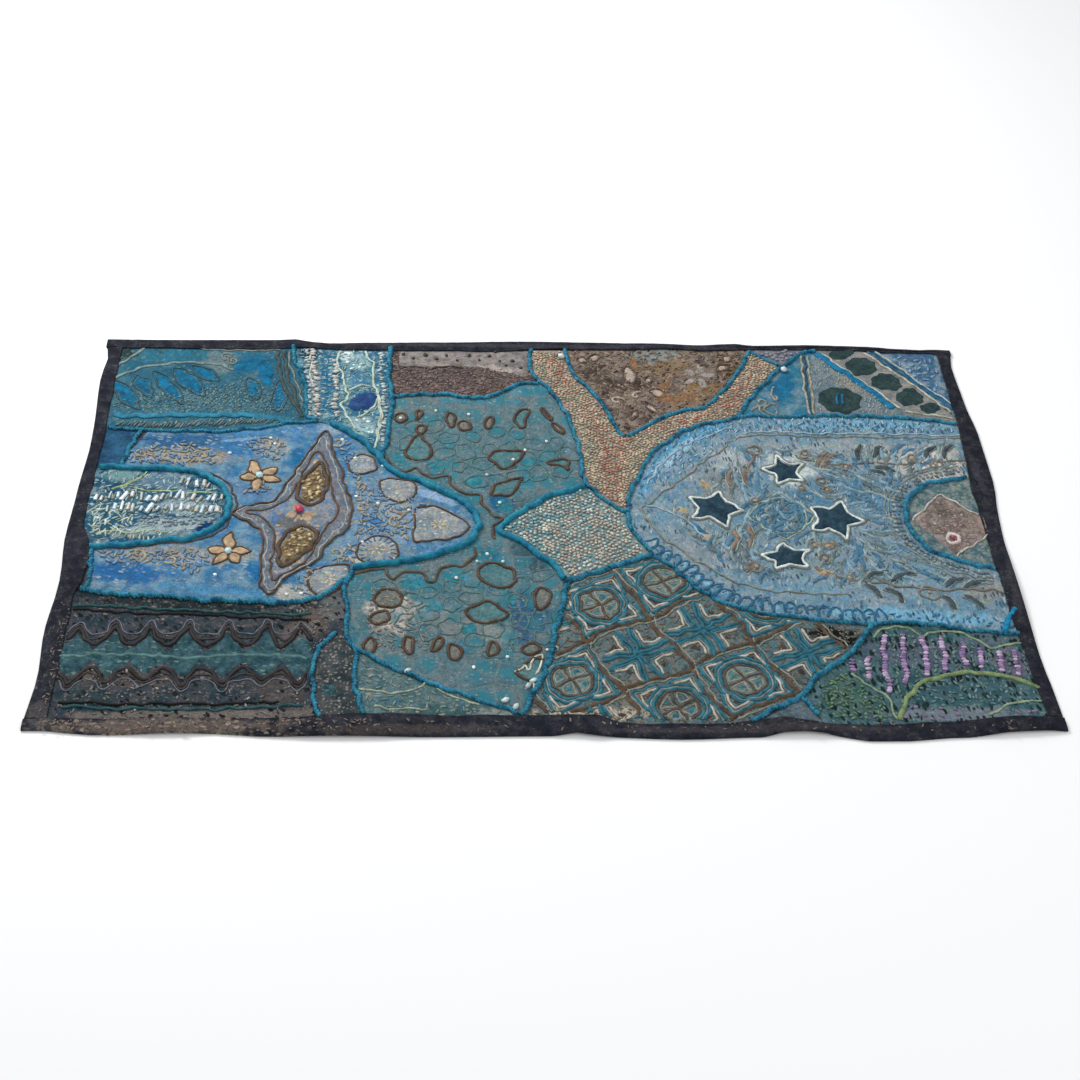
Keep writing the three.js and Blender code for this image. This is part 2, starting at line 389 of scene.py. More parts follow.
def calc(tree, operation, *feeds, clamp=False):
    """The result of a math node fed by sockets or numbers."""
    return node_in(tree, "Math", enumerate(feeds), operation=operation, use_clamp=clamp).outputs[0]


def times(tree, a, b, plus=None, clamp=False):
    """One socket or number times another, and perhaps plus a third."""
    if plus is None:
        return calc(tree, "MULTIPLY", a, b, clamp=clamp)
    return calc(tree, "MULTIPLY_ADD", a, b, plus, clamp=clamp)


def vector_calc(tree, operation, *feeds):
    """The result of a vector math node."""
    return node_in(tree, "VectorMath", enumerate(feeds), operation=operation).outputs[0]


def cloud(tree, place, scale, detail=2, rough=0.5, swirl=0):
    """Soft noise over the cloth: the node, with a value and a colour."""
    return node_in(tree, "TexNoise", {"Vector": place, "Scale": scale, "Detail": detail, "Roughness": rough,
        "Distortion": swirl})


def blended(tree, share, low, high, way="MIX"):
    """A colour between two others, by a share; colours are sockets or triples."""
    low, high = [(*c, 1) if isinstance(c, tuple) else c for c in (low, high)]
    return node_in(tree, "Mix", {0: share, 6: low, 7: high}, data_type="RGBA", blend_type=way).outputs[2]


def effect_group(name, takes, gives, wire):
    """A node group: wire(tree, given) turns its inputs into the sockets that it gives."""
    group = bpy.data.node_groups.new(name, "ShaderNodeTree")
    for key, value in takes.items():
        kind = "NodeSocketVector" if value is None else "NodeSocketFloat"
        socket = group.interface.new_socket(key, in_out="INPUT", socket_type=kind)
        if value is not None:
            socket.default_value = value
    for key in gives:
        group.interface.new_socket(key, in_out="OUTPUT", socket_type="NodeSocketFloat")
    made = wire(group, group.nodes.new("NodeGroupInput").outputs)
    out = group.nodes.new("NodeGroupOutput")
    for key, socket in zip(gives, made):
        group.links.new(socket, out.inputs[key])
    return group


def weave_threads(tree, given):
    """Threads that pass over and under each other, a little uneven."""
    parts = node_in(tree, "SeparateXYZ", {0: given["Place"]})
    drift = times(tree, cloud(tree, given["Place"], 60).outputs[0], 2.5)
    waves = []
    for axis in (0, 1):
        turns = calc(tree, "DIVIDE", parts.outputs[axis], given["Pitch"])
        waves.append(calc(tree, "SINE", times(tree, turns, math.pi, drift)))
    height = times(tree, times(tree, *waves), 0.5, 0.5)
    slub = cloud(tree, given["Place"], 220, 3).outputs[0]
    # Shade is the slub's random tone plus painted shade: threads that pass under the others come out
    # darker.
    return height, times(tree, slub, 0.5, times(tree, height, 0.5))


def mottled_patches(tree, given):
    """Broad soft patches of a second shade, from age, dye and what lies beneath."""
    scale = calc(tree, "DIVIDE", 1, given["Size"])
    soft = cloud(tree, given["Place"], scale, 5, 0.62).outputs[0]
    edge = times(tree, given["Share"], -0.5, 0.75)
    band = calc(tree, "DIVIDE", calc(tree, "SUBTRACT", soft, edge), given["Softness"])
    return (calc(tree, "ADD", band, 0.5, clamp=True),)


def shifted(tree, place, scale, detail=2, rough=0.5):
    """The place on the cloth moved a little, so that a net of cells looks sewn by hand."""
    bend = cloud(tree, place, scale, detail, rough).outputs["Color"]
    return vector_calc(tree, "MULTIPLY_ADD", bend, (0.014, 0.014, 0), place)


def fleck_spots(tree, given):
    """Short stitches, beads or lint, as small spots in a drawn-out grid of cells."""
    bent = shifted(tree, given["Place"], 55, 5, 0.65)
    turned_place = node_in(tree, "VectorRotate", {"Vector": bent, "Angle": given["Turn"]},
        rotation_type="Z_AXIS").outputs[0]
    parts = node_in(tree, "SeparateXYZ", {0: turned_place})
    long = times(tree, given["Pitch"], given["Stretch"])
    grid = node_in(tree, "CombineXYZ", {0: calc(tree, "DIVIDE", parts.outputs[0], long), 1: calc(tree,
        "DIVIDE", parts.outputs[1], given["Pitch"])}).outputs[0]
    cells = node_in(tree, "TexVoronoi", {"Vector": grid, "Scale": 1, "Randomness": 0.8},
        voronoi_dimensions="2D").outputs
    lot = node_in(tree, "SeparateColor", {0: cells["Color"]}).outputs
    size = times(tree, given["Fill"], times(tree, lot[2], 0.9, 0.5))
    spot = calc(tree, "SUBTRACT", size, cells["Distance"])
    spot = times(tree, spot, 6, 0.4, clamp=True)
    kept = calc(tree, "LESS_THAN", lot[0], given["Share"])
    return times(tree, spot, kept), lot[1]


def scale_cells(tree, given):
    """Rounded cells with paler thread round each, some of them a brighter shade."""
    size = calc(tree, "DIVIDE", 1, given["Size"])
    bent = shifted(tree, given["Place"], 28)
    whole, edge = [node_in(tree, "TexVoronoi", {"Vector": bent, "Scale": size, "Randomness": 0.75},
        voronoi_dimensions="2D", feature=feature).outputs for feature in ("F1", "DISTANCE_TO_EDGE")]
    rim = times(tree, edge["Distance"], -22, 1.6, clamp=True)
    lot = node_in(tree, "SeparateColor", {0: whole["Color"]}).outputs[0]
    core = times(tree, whole["Distance"], -4, 1.7, clamp=True)
    return rim, times(tree, core, calc(tree, "GREATER_THAN", lot, 0.4))


def ragged_oval(tree, given):
    """A soft, ragged oval at a set place on the cloth, for a wash of another colour."""
    feeds = {"Vector": given["Place"], "Center": given["Middle"], "Angle": given["Turn"]}
    near = node_in(tree, "VectorRotate", feeds, rotation_type="Z_AXIS").outputs[0]
    away = vector_calc(tree, "SUBTRACT", near, given["Middle"])
    away = vector_calc(tree, "DIVIDE", away, given["Reach"])
    far = node_in(tree, "VectorMath", {0: away}, operation="LENGTH").outputs["Value"]
    rag = cloud(tree, given["Place"], 48, 5).outputs[0]
    cover = times(tree, rag, 1.6, calc(tree, "SUBTRACT", 0.2, far))
    return (times(tree, cover, 2.6, clamp=True),)


weave = effect_group("plain_weave", {"Place": None, "Pitch": 0.0012}, ("Height", "Shade"), weave_threads)
mottle = effect_group("mottling", {"Place": None, "Size": 0.05, "Share": 0.5, "Softness": 0.15}, ("Mask",),
    mottled_patches)
fleck = effect_group("flecks", {"Place": None, "Pitch": 0.005, "Turn": 0, "Stretch": 1, "Fill": 0.35,
    "Share": 1}, ("Mask", "Lot"), fleck_spots)
scale = effect_group("scales", {"Place": None, "Size": 0.04}, ("Edge", "Heart"), scale_cells)
patch = effect_group("patch", {"Place": None, "Middle": None, "Reach": None, "Turn": 0}, ("Mask",),
    ragged_oval)


def placed_group(tree, group, place, **values):
    """The outputs of an effect group in a material, at the piece's own place."""
    return node_in(tree, "Group", {"Place": place, **values}, node_tree=group).outputs


def patch_at(tree, place, x, y, long, wide, turn=0):
    """The mask of one patch, in millimetres and degrees."""
    return placed_group(tree, patch, place, Middle=(x * mm, y * mm, 0),
        Reach=(long / 2 * mm, wide / 2 * mm, 1), Turn=-math.radians(turn))["Mask"]


def specks(tint, pitch, stretch=1, turn=0, fill=0.3, share=1, where=None, spread=None):
    """One layer of flecks: their colour, pitch in millimetres and lie, and where they are."""
    return srgb(tint), where, spread, dict(Pitch=pitch / 1000, Stretch=stretch, Turn=turn, Fill=fill,
        Share=share)


def bare_finish(name, rough, gloss):
    """A new material: itself, its nodes, its shader and the place on the cloth."""
    finish = bpy.data.materials.new(name)
    finish.use_nodes = True
    tree = finish.node_tree
    shader = tree.nodes["Principled BSDF"]
    shader.inputs["Roughness"].default_value = rough
    shader.inputs["Specular IOR Level"].default_value = gloss
    return finish, tree, shader, node_in(tree, "TexCoord").outputs["Object"]


CLOTH_GLOSS, RELIEF, RELIEF_DEPTH = 0.08, 0.6, 0.0012


def cloth(name, shades, size=0.05, share=0.5, softness=0.25, washes=(), flecks=(), pitch=0.0014, rough=0.85,
        crease_shade=0.55, worked=0.75, scales=None):
    """A woven cloth in two mottled shades, with washes of colour, layers of flecks, and painted shade in
    its weave and creases.
    """
    finish, tree, shader, place = bare_finish(name, rough, CLOTH_GLOSS)
    threads = placed_group(tree, weave, place, Pitch=pitch)
    patches = placed_group(tree, mottle, place, Size=size, Share=share, Softness=softness)
    colour = blended(tree, patches["Mask"], srgb(shades[0]), srgb(shades[1]))
    for *oval, tint, strength in washes:
        mask = times(tree, patch_at(tree, place, *oval), strength)
        colour = blended(tree, mask, colour, srgb(tint))
    creases = cloud(tree, place, 42, 7, 0.68, 0.8).outputs[0]
    grain = cloud(tree, place, 230, 4, 0.62, 1.2).outputs
    # Painted shade: the colour darkens where the weave's threads pass under and in the low parts of the
    # crease relief, and lightens on the crease ridges. The grain adds a random tone.
    dim = times(tree, threads["Shade"], 0.4, 0.76 - crease_shade - worked)
    dim = times(tree, creases, 2 * crease_shade, dim)
    dim = times(tree, grain[0], 2 * worked, dim)
    mixed = vector_calc(tree, "MULTIPLY_ADD", grain["Color"], (1.3, 1.3, 1.3), (0.35, 0.35, 0.35))
    shade = node_in(tree, "VectorMath", {0: mixed, "Scale": dim}, operation="SCALE").outputs[0]
    colour = blended(tree, 1, colour, shade, "MULTIPLY")
    height = times(tree, threads["Height"], 0.3)
    height = times(tree, creases, 3, height)
    height = times(tree, grain[0], 1.2, height)
    if scales:
        net = placed_group(tree, scale, place, Size=scales[0])
        for part, cover, tint in (("Heart", 0.75, scales[1]), ("Edge", 0.4, scales[2])):
            colour = blended(tree, times(tree, net[part], cover), colour, srgb(tint))
        height = times(tree, net["Edge"], -1, height)
    for tint, where, spread, lie in flecks:
        spots = placed_group(tree, fleck, place, **lie)
        cover = spots["Mask"]
        if spread:
            area = placed_group(tree, mottle, place, Size=spread[0], Share=spread[1], Softness=0.12)
            cover = times(tree, cover, area["Mask"])
        if where:
            cover = times(tree, cover, patch_at(tree, place, *where))
        tone = times(tree, spots["Lot"], 0.7, 0.5)
        tones = node_in(tree, "CombineColor", {k: times(tree, tone, tint[k]) for k in range(3)})
        colour = blended(tree, cover, colour, tones.outputs[0])
        height = calc(tree, "ADD", cover, height)
    relief = node_in(tree, "Bump", {"Strength": RELIEF, "Distance": RELIEF_DEPTH, "Height": height})
    tree.links.new(colour, shader.inputs["Base Color"])
    tree.links.new(relief.outputs[0], shader.inputs["Normal"])
    return finish


def within_binding(points, tuck):
    """Plan points brought in to the binding's inner edges, or a little way under it."""
    x, y = np.array(points, float).T
    low = np.interp(x, seam_bottom[0], seam_bottom[2]) - tuck
    high = np.interp(x, seam_top[0], seam_top[1]) + tuck
    left = np.interp(y, seam_left[0], seam_left[2]) - tuck
    right = np.interp(y, seam_right[0], seam_right[1]) + tuck
    return np.stack([np.clip(x, left, right), np.clip(y, low, high)], axis=1)


BEYOND, TUCK, BACKING = 2000, 7, 1.2
ground_outline = within_binding([(x, -BEYOND) for x in range(-735, 736, 30)]
    + [(BEYOND, y) for y in range(-425, 436, 30)] + [(x, BEYOND) for x in range(735, -736, -30)]
    + [(-BEYOND, y) for y in range(425, -426, -30)], TUCK)
backing_cotton = cloth("backing_cotton", [0x3C3F46, 0x4C5055], rough=0.95)


def ground_level(plan, rim):
    """The upper face of the backing, at its own thickness over the floor."""
    return net_value(lift, plan[:, 0], plan[:, 1]) + BACKING


ground_mesh = sheet_mesh("ground_cloth", [ground_outline], 12, ground_level)
ground_cloth = shown("ground_cloth", ground_mesh, backing_cotton)
thicken = ground_cloth.modifiers.new("thickness", "SOLIDIFY")
thicken.thickness = BACKING * mm
thicken.offset = -1
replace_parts(ground_cloth, "patchwork_panel")


# ---------------- scraps
# Cut pieces of older embroidered cloth, turned under at their edges and sewn down. Each one's
# outline follows the seams round it, and its finish carries its dye, wear and old stitching, with painted
# shade in its creases.
SCRAP_SPACING, TURNED_EDGE, SEAM_PUFF = 6, 7, 0.8
# The forked seed band fills only 0.264 of its own, so its area is stated as this share,
# which is more than was cut.
R = ROUTES  # short, for the edges named below
cuts = {}


def scrap(name, outline, finish, rise=0):
    """One scrap: its cut outline, finish, and how far it lies over those beneath."""
    def level(plan, rim):
        soft = np.clip(from_outline(plan, rim) / TURNED_EDGE, 0, 1)
        soft = soft * soft * (3 - 2 * soft)
        return top_at(plan[:, 0], plan[:, 1]) + rise + SEAM_PUFF * (soft - 1)
    cut = within_binding(dense_outline(outline, 20), 3)
    cuts[name] = cut
    piece = shown(name, sheet_mesh(name, [cut], SCRAP_SPACING, level), finish)


scrap("leaf_scrap", [(-742, 438)] + R["leaf_edge"] + R["yoke_upper"] + [(-742, 212)], cloth("leaf_ground",
    [0x1E546A, 0x3E6674], 0.03, 0.45, 0.3, washes=[(-620, 412, 230, 40, 6, 0x24667C, 0.8),
    (-640, 345, 200, 60, -30, 0x1E5870, 0.5), (-490, 400, 110, 50, 0x1E5C76, 0.7),
    (-460, 330, 60, 110, 0x28566C, 0.6), (-732, 420, 70, 64, 45, 0x283838, 1),
    (-556, 394, 70, 80, 20, 0x707A78, 0.6)], flecks=[specks(0x6C8482, 4.5, 1.6, 1.1, fill=0.33,
    where=(-570, 285, 380, 110)), specks(0x5C7678, 5, 2.5, -0.8, fill=0.28, share=0.5)]))
scrap("corner_scrap", [(-742, 212)] + R["corner_piece"] + [(-692, 112), (-742, 112)],
    cloth("deep_blue_silk", [0x1A3A56, 0x2A5876], 0.03))
scrap("beaded_strip", R["strip_edge"] + R["yoke_right"][3::-1] + R["leaf_edge"][::-1],
    cloth("pale_teal_silk", [0x2C6480, 0x6E9298], 0.02, 0.4, 0.15,
    washes=[(-336, 418, 28, 34, 0xC4D4D6, 0.9), (-400, 424, 56, 50, 0x14364C, 0.9),
    (-312, 398, 44, 60, 0x96B6B8, 0.7), (-312, 350, 44, 50, 0x467896, 0.7),
    (-300, 225, 50, 60, 0x96B4B8, 0.8), (-388, 320, 40, 150, 3, 0x7E8C8E, 0.6),
    (-368, 340, 24, 200, 0x1E6082, 0.8)], flecks=[specks(0x9CB2B2, 6, 1.8, share=0.5)]))
scrap("brown_scrap", R["strip_edge"][:4] + R["brown_edge"] + R["band_left"][2::-1],
    cloth("mauve_brown_cotton", [0x423939, 0x5E5553], 0.014, 0.5, 0.2,
    washes=[(-60, 325, 70, 24, 30, 0x705438, 0.6)], flecks=[specks(0x806E6A, 6, 1.6, fill=0.32)]))

paisley_silk = cloth("muted_teal_silk", [0x3E6F7C, 0x647579], 0.045, 0.5, 0.2,
    washes=[(-10, 330, 120, 60, 20, 0x3A8096, 0.7), (-100, 292, 170, 24, 0x347A8C, 0.7),
    (-20, -90, 70, 90, 30, 0x344C58, 0.8), (-30, -220, 80, 150, 0x205274, 0.8),
    (-240, -216, 90, 90, 0xC4B6AC, 0.9), (-200, -215, 70, 60, 0x96A0A0, 0.7),
    (-150, -330, 200, 60, -28, 0x52707A, 0.7), (-80, -262, 60, 50, 0x929894, 0.6),
    (-130, -230, 150, 90, -10, 0x7E827E, 0.6), (40, 210, 40, 130, 10, 0x60828E, 0.6),
    (-70, 30, 60, 50, -40, 0x265A78, 0.8), (-36, 16, 60, 60, 0x2A505E, 0.7)]
    + [(x, y, 40, 40, 0x145C82, 0.9) for x, y in ((-68, 32), (-86, -87))] + [(x, y, 44, 44, 0x227C92, 0.7)
    for x, y in ((-174, 120), (-110, 80), (-138, -140), (-205, -150), (-24, 88))],
    flecks=[specks(0x7C8886, 5, 1.5, fill=0.28, share=0.4)], scales=(0.04, 0x2E7482, 0x707A78))
scrap("upper_paisley_scrap", R["brown_edge"] + R["band_left"][3:12] + R["diamond_left"][:6] + [(-104, -30)]
    + R["yoke_right"][10:3:-1] + R["strip_edge"][8:3:-1], paisley_silk)
scrap("lower_paisley_scrap", [(-104, -30)] + R["diamond_left"][5:] + R["tile_left"]
    + R["lower_diagonal"][::-1] + R["narrow_edge"][4::-1] + R["yoke_right"][:10:-1], paisley_silk)

scrap("seed_band", R["band_fork_left"] + R["band_fork_right"] + R["band_right"] + R["arch_upper"][9::-1]
    + R["band_left"][::-1], cloth("sand_ground", [0x8E8678, 0x96847A], 0.02))
scrap("brocade_scrap", R["band_fork_left"] + R["band_fork_right"] + [(391, 450), (60, 446)],
    cloth("olive_brocade", [0x5C534D, 0x82766D], 0.018, 0.5, 0.15,
    washes=[(232, 390, 110, 60, 10, 0x806A50, 0.8), (285, 325, 120, 60, 40, 0x826848, 0.9),
    (300, 366, 60, 50, 0x766C66, 0.8), (218, 428, 110, 46, 0x7A8484, 1),
    (128, 350, 60, 90, 30, 0x4A4038, 0.7), (350, 400, 60, 90, 0x604C36, 0.7)],
    flecks=[specks(0x8C7A68, 8, 2.2, 0.9, share=0.6), specks(0x483A30, 7, 2, 2.2, fill=0.28, share=0.5)],
    crease_shade=0.7))
scrap("mauve_corner_scrap", [(391, 450), (445, 399), (516, 452)],
    cloth("mauve_silk", [0x5C666C, 0x7E7E8A], 0.015))
scrap("loop_scrap", R["corner_right"] + [(490, 400), (484, 261)] + R["arch_upper"][12:9:-1]
    + R["band_right"][::-1], cloth("loop_blue_silk", [0x32708A, 0x688692], 0.03, 0.4, 0.15,
    washes=[(440, 340, 50, 90, -20, 0x126286, 0.8), (400, 285, 70, 40, 0x5A7080, 0.6)]))
scrap("stipple_scrap", [(484, 261), (490, 400), (514, 450), (640, 285), (652, 259)],
    cloth("stippled_grey_blue", [0x58707C, 0x7A8486], 0.02,
    washes=[(560, 350, 90, 30, -50, 0x8C887C, 0.7)]))
scrap("rosette_scrap", [(512, 452), (612, 454), (738, 262), (738, 242), (652, 259), (640, 285)],
    cloth("grey_beige_ground", [0x707679, 0x8E8C86], 0.02))
scrap("mottled_corner_scrap", [(610, 452), (742, 445), (742, 260)], cloth("mottled_blue",
    [0x426884, 0x7E909C], 0.018, 0.45, 0.12, washes=[(690, 426, 80, 40, 0x284E74, 0.7)]))
# In the washes, the pale streak at (225, 150) running beside the upper cord is a painted highlight.
scrap("arch_scrap", R["arch_upper"] + [(742, 243), (742, -256)] + R["arch_lower"][::-1],
    cloth("grey_blue_silk", [0x60869B, 0x83949C], 0.03, 0.5, 0.2,
    washes=[(262, 196, 220, 40, 40, 0x468EB2, 0.9), (225, 150, 180, 26, 48, 0x96BACE, 0.9),
    (180, 90, 130, 26, 66, 0x5492B4, 0.8), (560, 240, 360, 40, 0x72A4BE, 0.8),
    (520, 175, 320, 50, 0x969C9C, 0.6), (400, 20, 190, 110, 20, 0x42728E, 0.7),
    (560, 60, 110, 150, 0x4A7A96, 0.6), (655, 145, 200, 96, 6, 0xBEB8AE, 0.7),
    (686, 118, 110, 74, 0xCECAC2, 0.6), (320, 140, 80, 60, 30, 0xB8BEBE, 0.6),
    (420, 120, 100, 90, 0xC8CECC, 0.7), (360, -140, 70, 44, -30, 0x38505A, 0.8),
    (300, 70, 80, 110, 20, 0x828480, 0.6), (250, -60, 120, 120, -45, 0x868E90, 0.6),
    (400, -160, 230, 40, -12, 0x7096AC, 0.7), (560, -160, 240, 60, -4, 0x7892A0, 0.6),
    (700, -165, 80, 60, 0x8E887C, 0.6), (250, -170, 200, 30, -38, 0x4A7892, 0.8),
    (580, -222, 340, 34, -3, 0x72A8C4, 0.9), (318, -86, 46, 100, 8, 0x545856, 0.6),
    (668, 150, 110, 60, 0xCEC8BE, 0.6)], flecks=[specks(0x3E5462, 5.5, 3.4, 1.4, fill=0.27, share=0.7,
    spread=(0.05, 0.45)), specks(0xA0ACAE, 6, 3.4, 1.7, fill=0.27, share=0.7, spread=(0.04, 0.5)),
    specks(0x406C88, 8, 2.6, 1.5, fill=0.26, where=(540, 228, 420, 50))], rough=0.75))
scrap("half_round_scrap", R["half_round_right"] + [(742, -118), (742, 110)], cloth("green_grey_cotton",
    [0x48666E, 0x7C8882], 0.014, 0.45, 0.15, flecks=[specks(0x828A80, 8, share=0.4)]), rise=0.5)
scrap("diamond_scrap", R["band_left"][11:] + R["arch_lower"][:5] + R["diamond_lower"][::-1]
    + R["diamond_left"][::-1], cloth("diamond_teal", [0x66888E, 0x86928C], 0.03))
# Among the satin's washes, the narrow pale streaks at (-500, 186) and (-180, 45) are painted fold
# highlights.
scrap("yoke_scrap", R["yoke_upper"][5::-1] + R["yoke_right"] + R["yoke_lower"] + R["yoke_left"][::-1]
    + [(-742, -80), (-742, 112), (-692, 112), (-688, 150)], cloth("cornflower_satin", [0x306C96, 0x6A8A9C],
    0.035, 0.5, 0.2, washes=[(-590, 180, 230, 46, 4, 0x18507A, 0.9), (-470, 204, 180, 34, 8, 0x407AA4, 0.8),
    (-520, 160, 110, 60, 20, 0x286898, 0.8), (-500, 186, 90, 8, 10, 0x82A4BE, 0.6),
    (-660, 184, 90, 8, -4, 0x1C406C, 0.8), (-405, 145, 34, 50, 0x005C88, 0.9),
    (-600, 140, 190, 40, 0x969288, 0.8), (-452, 165, 70, 70, -50, 0x989892, 0.6),
    (-470, 50, 110, 40, 0x607C9E, 0.6), (-560, -92, 260, 46, -3, 0x8E8C86, 0.7),
    (-650, -136, 170, 56, -4, 0x105A92, 0.9), (-455, -130, 34, 60, 10, 0x046094, 0.9),
    (-500, -172, 280, 20, -4, 0x4280A8, 0.8), (-250, 0, 180, 200, 0x6E8CA6, 0.7),
    (-270, -18, 30, 50, -30, 0x2870A8, 0.9), (-180, 45, 90, 24, -28, 0x80A6C8, 0.9),
    (-170, -80, 90, 22, 20, 0x5A84AA, 0.9), (-394, -176, 90, 40, 0xAAA8A0, 0.9),
    (-275, -92, 80, 60, 0xC4C2BA, 0.9), (-240, 18, 60, 50, 0xA0AAAC, 0.7),
    (-356, 212, 50, 40, 0x8CA6B8, 0.8)], flecks=[specks(0x9E9480, 7, 2, 0.6, fill=0.34, share=0.7,
    where=(-600, 142, 210, 56)), specks(0x9E9480, 7, 2, 2, fill=0.34, share=0.7,
    where=(-590, -100, 260, 60, -4)), specks(0xA0A096, 6.5, 2, -0.7, share=0.5,
    where=(-245, 10, 230, 260, -20)), specks(0x8696A0, 6, 2.2, 0.2, fill=0.28, share=0.5,
    spread=(0.05, 0.5))], rough=0.6, crease_shade=0.6))
scrap("bead_half_round", [(-742, 112)] + R["half_round_left"] + [(-742, -80)], cloth("teal_grey_silk",
    [0x1E506A, 0x6A828C], 0.02, 0.42, 0.12, washes=[(-690, 95, 70, 40, 0x709494, 0.8),
    (-682, 60, 90, 40, 0x1C4456, 0.5), (-722, -60, 40, 50, 0x1C4456, 0.5),
    (-620, 78, 110, 40, 0x5C7A8C, 0.8), (-640, 20, 230, 70, 0x285C70, 0.7),
    (-600, -26, 190, 44, 6, 0xA0B0B4, 0.8), (-580, 18, 100, 44, 0xA0AEB4, 0.8),
    (-545, -28, 44, 20, 42, 0x003C68, 1)], flecks=[specks(0x96A8A8, 6, 1.8, fill=0.28, share=0.5)]),
    rise=0.5)
scrap("dark_scrap", [(-742, -164)] + R["yoke_lower"][::-1] + R["narrow_edge"][:4] + R["dark_edge"]
    + [(-338, -432), (-742, -436)], cloth("worn_black_brown", [0x20343E, 0x40444A], 0.025,
    washes=[(-640, -345, 240, 60, 0x5C5048, 0.6), (-370, -245, 70, 100, -30, 0x685C54, 0.7),
    (-326, -204, 50, 80, 0x686C6C, 0.7), (-400, -370, 90, 90, 0x544A44, 0.5),
    (-500, -425, 480, 32, 0x746C66, 0.8), (-560, -200, 340, 40, -5, 0x1C282A, 0.8),
    (-680, -390, 90, 50, -20, 0x223E42, 0.6)], flecks=[specks(0x7A706A, 5.5, 1.6, fill=0.36, share=0.6,
    spread=(0.03, 0.42)), specks(0x605C5C, 4, share=0.5, spread=(0.05, 0.6)),
    specks(0x1E2022, 8, 2, 0.9, share=0.4)], crease_shade=0.7))
scrap("narrow_scrap", R["narrow_edge"][2:] + [(-273, -434), (-338, -434)] + R["dark_edge"][::-1],
    cloth("worn_dark_strip", [0x26343A, 0x4A4E4E], 0.02, flecks=[specks(0x807C78, 6, share=0.6)]), rise=0.2)
scrap("sliver_scrap", R["lower_diagonal"] + [(-50, -434), (-272, -434)] + R["narrow_edge"][:4:-1],
    cloth("sage_teal", [0x3A5F69, 0x627779], 0.02, washes=[(-150, -420, 170, 40, 0x365458, 0.8),
    (-66, -422, 110, 34, 0x848C8C, 0.9)], flecks=[specks(0x8C9286, 6, 2, fill=0.28, share=0.5)]))
scrap("tile_scrap", R["diamond_lower"] + R["arch_lower"][5:14] + R["tile_right"][1:]
    + [(285, -440), (-50, -434)] + R["tile_left"][::-1], cloth("teal_brown_ground", [0x506D74, 0x6A6E6A],
    0.02, 0.5, 0.2, washes=[(440, -262, 110, 46, -10, 0x121818, 1), (70, -420, 200, 34, 0xB4A894, 0.9),
    (44, -336, 70, 60, 0x8C9E98, 0.8), (200, -416, 80, 40, 0x7C8A88, 0.8),
    (150, -108, 70, 50, -30, 0x68909A, 0.8), (362, -338, 60, 60, 0x3E4848, 0.6),
    (120, -375, 80, 60, 20, 0x7C6E5C, 0.7)], flecks=[specks(0x76746C, 6, share=0.5),
    specks(0x3E707A, 7, 1.8, 1.1, share=0.4)]))
scrap("wedge_scrap", [(285, -444), (372, -391), (398, -444)],
    cloth("grey_mauve", [0x485862, 0x66747A], 0.012))
scrap("green_scrap", R["arch_lower"][13:] + [(742, -257), (742, -432), (398, -444)] + R["wedge_edge"][::-1]
    + R["tile_right"][6:0:-1], cloth("bottle_green_silk", [0x2E5058, 0x526E74], 0.02, 0.5, 0.2,
    washes=[(540, -290, 150, 70, 0x3E4A56, 0.6), (690, -268, 110, 30, -6, 0x54646E, 0.8),
    (610, -385, 170, 50, 0x34545C, 0.6), (590, -300, 260, 70, 0x5C6276, 0.6),
    (706, -320, 70, 80, 0x665C70, 0.7), (600, -420, 260, 34, 0x747C88, 0.8),
    (440, -380, 90, 80, -20, 0x426056, 0.6)], flecks=[specks(0x74887C, 6, fill=0.26, share=0.4),
    specks(0x1E2E2E, 8, 2.4, 1.4, share=0.6)], crease_shade=0.7))

# ---------------- seam cords
# Twisted cords laid over the seams and couched down every few millimetres. The smooth ones
# are wound with satin thread instead.
COUCHING, TWIST, CORD_STEP = 9, 11, 1.6


def mesh_of(name, corners, faces, smooth=True):
    """A mesh from arrays of corners, in millimetres, and faces."""
    mesh = bpy.data.meshes.new(name)
    mesh.from_pydata((np.asarray(corners) * mm).tolist(), [], faces)
    mesh.polygons.foreach_set("use_smooth", [smooth] * len(mesh.polygons))
    return mesh


def swept(rings, closed=False, start=0):
    """Corners and faces of a skin through rings of points; open ends are capped."""
    place = start + np.arange(rings[..., 0].size).reshape(rings.shape[:2])
    here, after = place, np.roll(place, -1, axis=0)
    if not closed:
        here, after = here[:-1], after[:-1]
    faces = np.stack([here, after, np.roll(after, -1, 1), np.roll(here, -1, 1)], axis=-1)
    ends = [] if closed else [place[0].tolist(), place[-1][::-1].tolist()]
    return rings.reshape(-1, 3), faces.reshape(-1, 4).tolist() + ends


def rings_along(run, out, level, closed=False):
    """Rings of points beside a plan line, at distances out to its side and at levels."""
    ahead = np.roll(run, -1, axis=0) - np.roll(run, 1, axis=0)
    if not closed:
        ahead[0], ahead[-1] = run[1] - run[0], run[-1] - run[-2]
    ahead /= np.maximum(np.linalg.norm(ahead, axis=1), 1e-9)[:, None]
    return np.stack([run[:, :1] - ahead[:, 1:] * out, run[:, 1:] + ahead[:, :1] * out, level], axis=-1)


def over_backing(line, level):
    """Levels beside a plan line, kept over the middle of the backing's thickness."""
    return np.maximum(level, net_value(lift, line[:, :1], line[:, 1:]) + BACKING / 2)


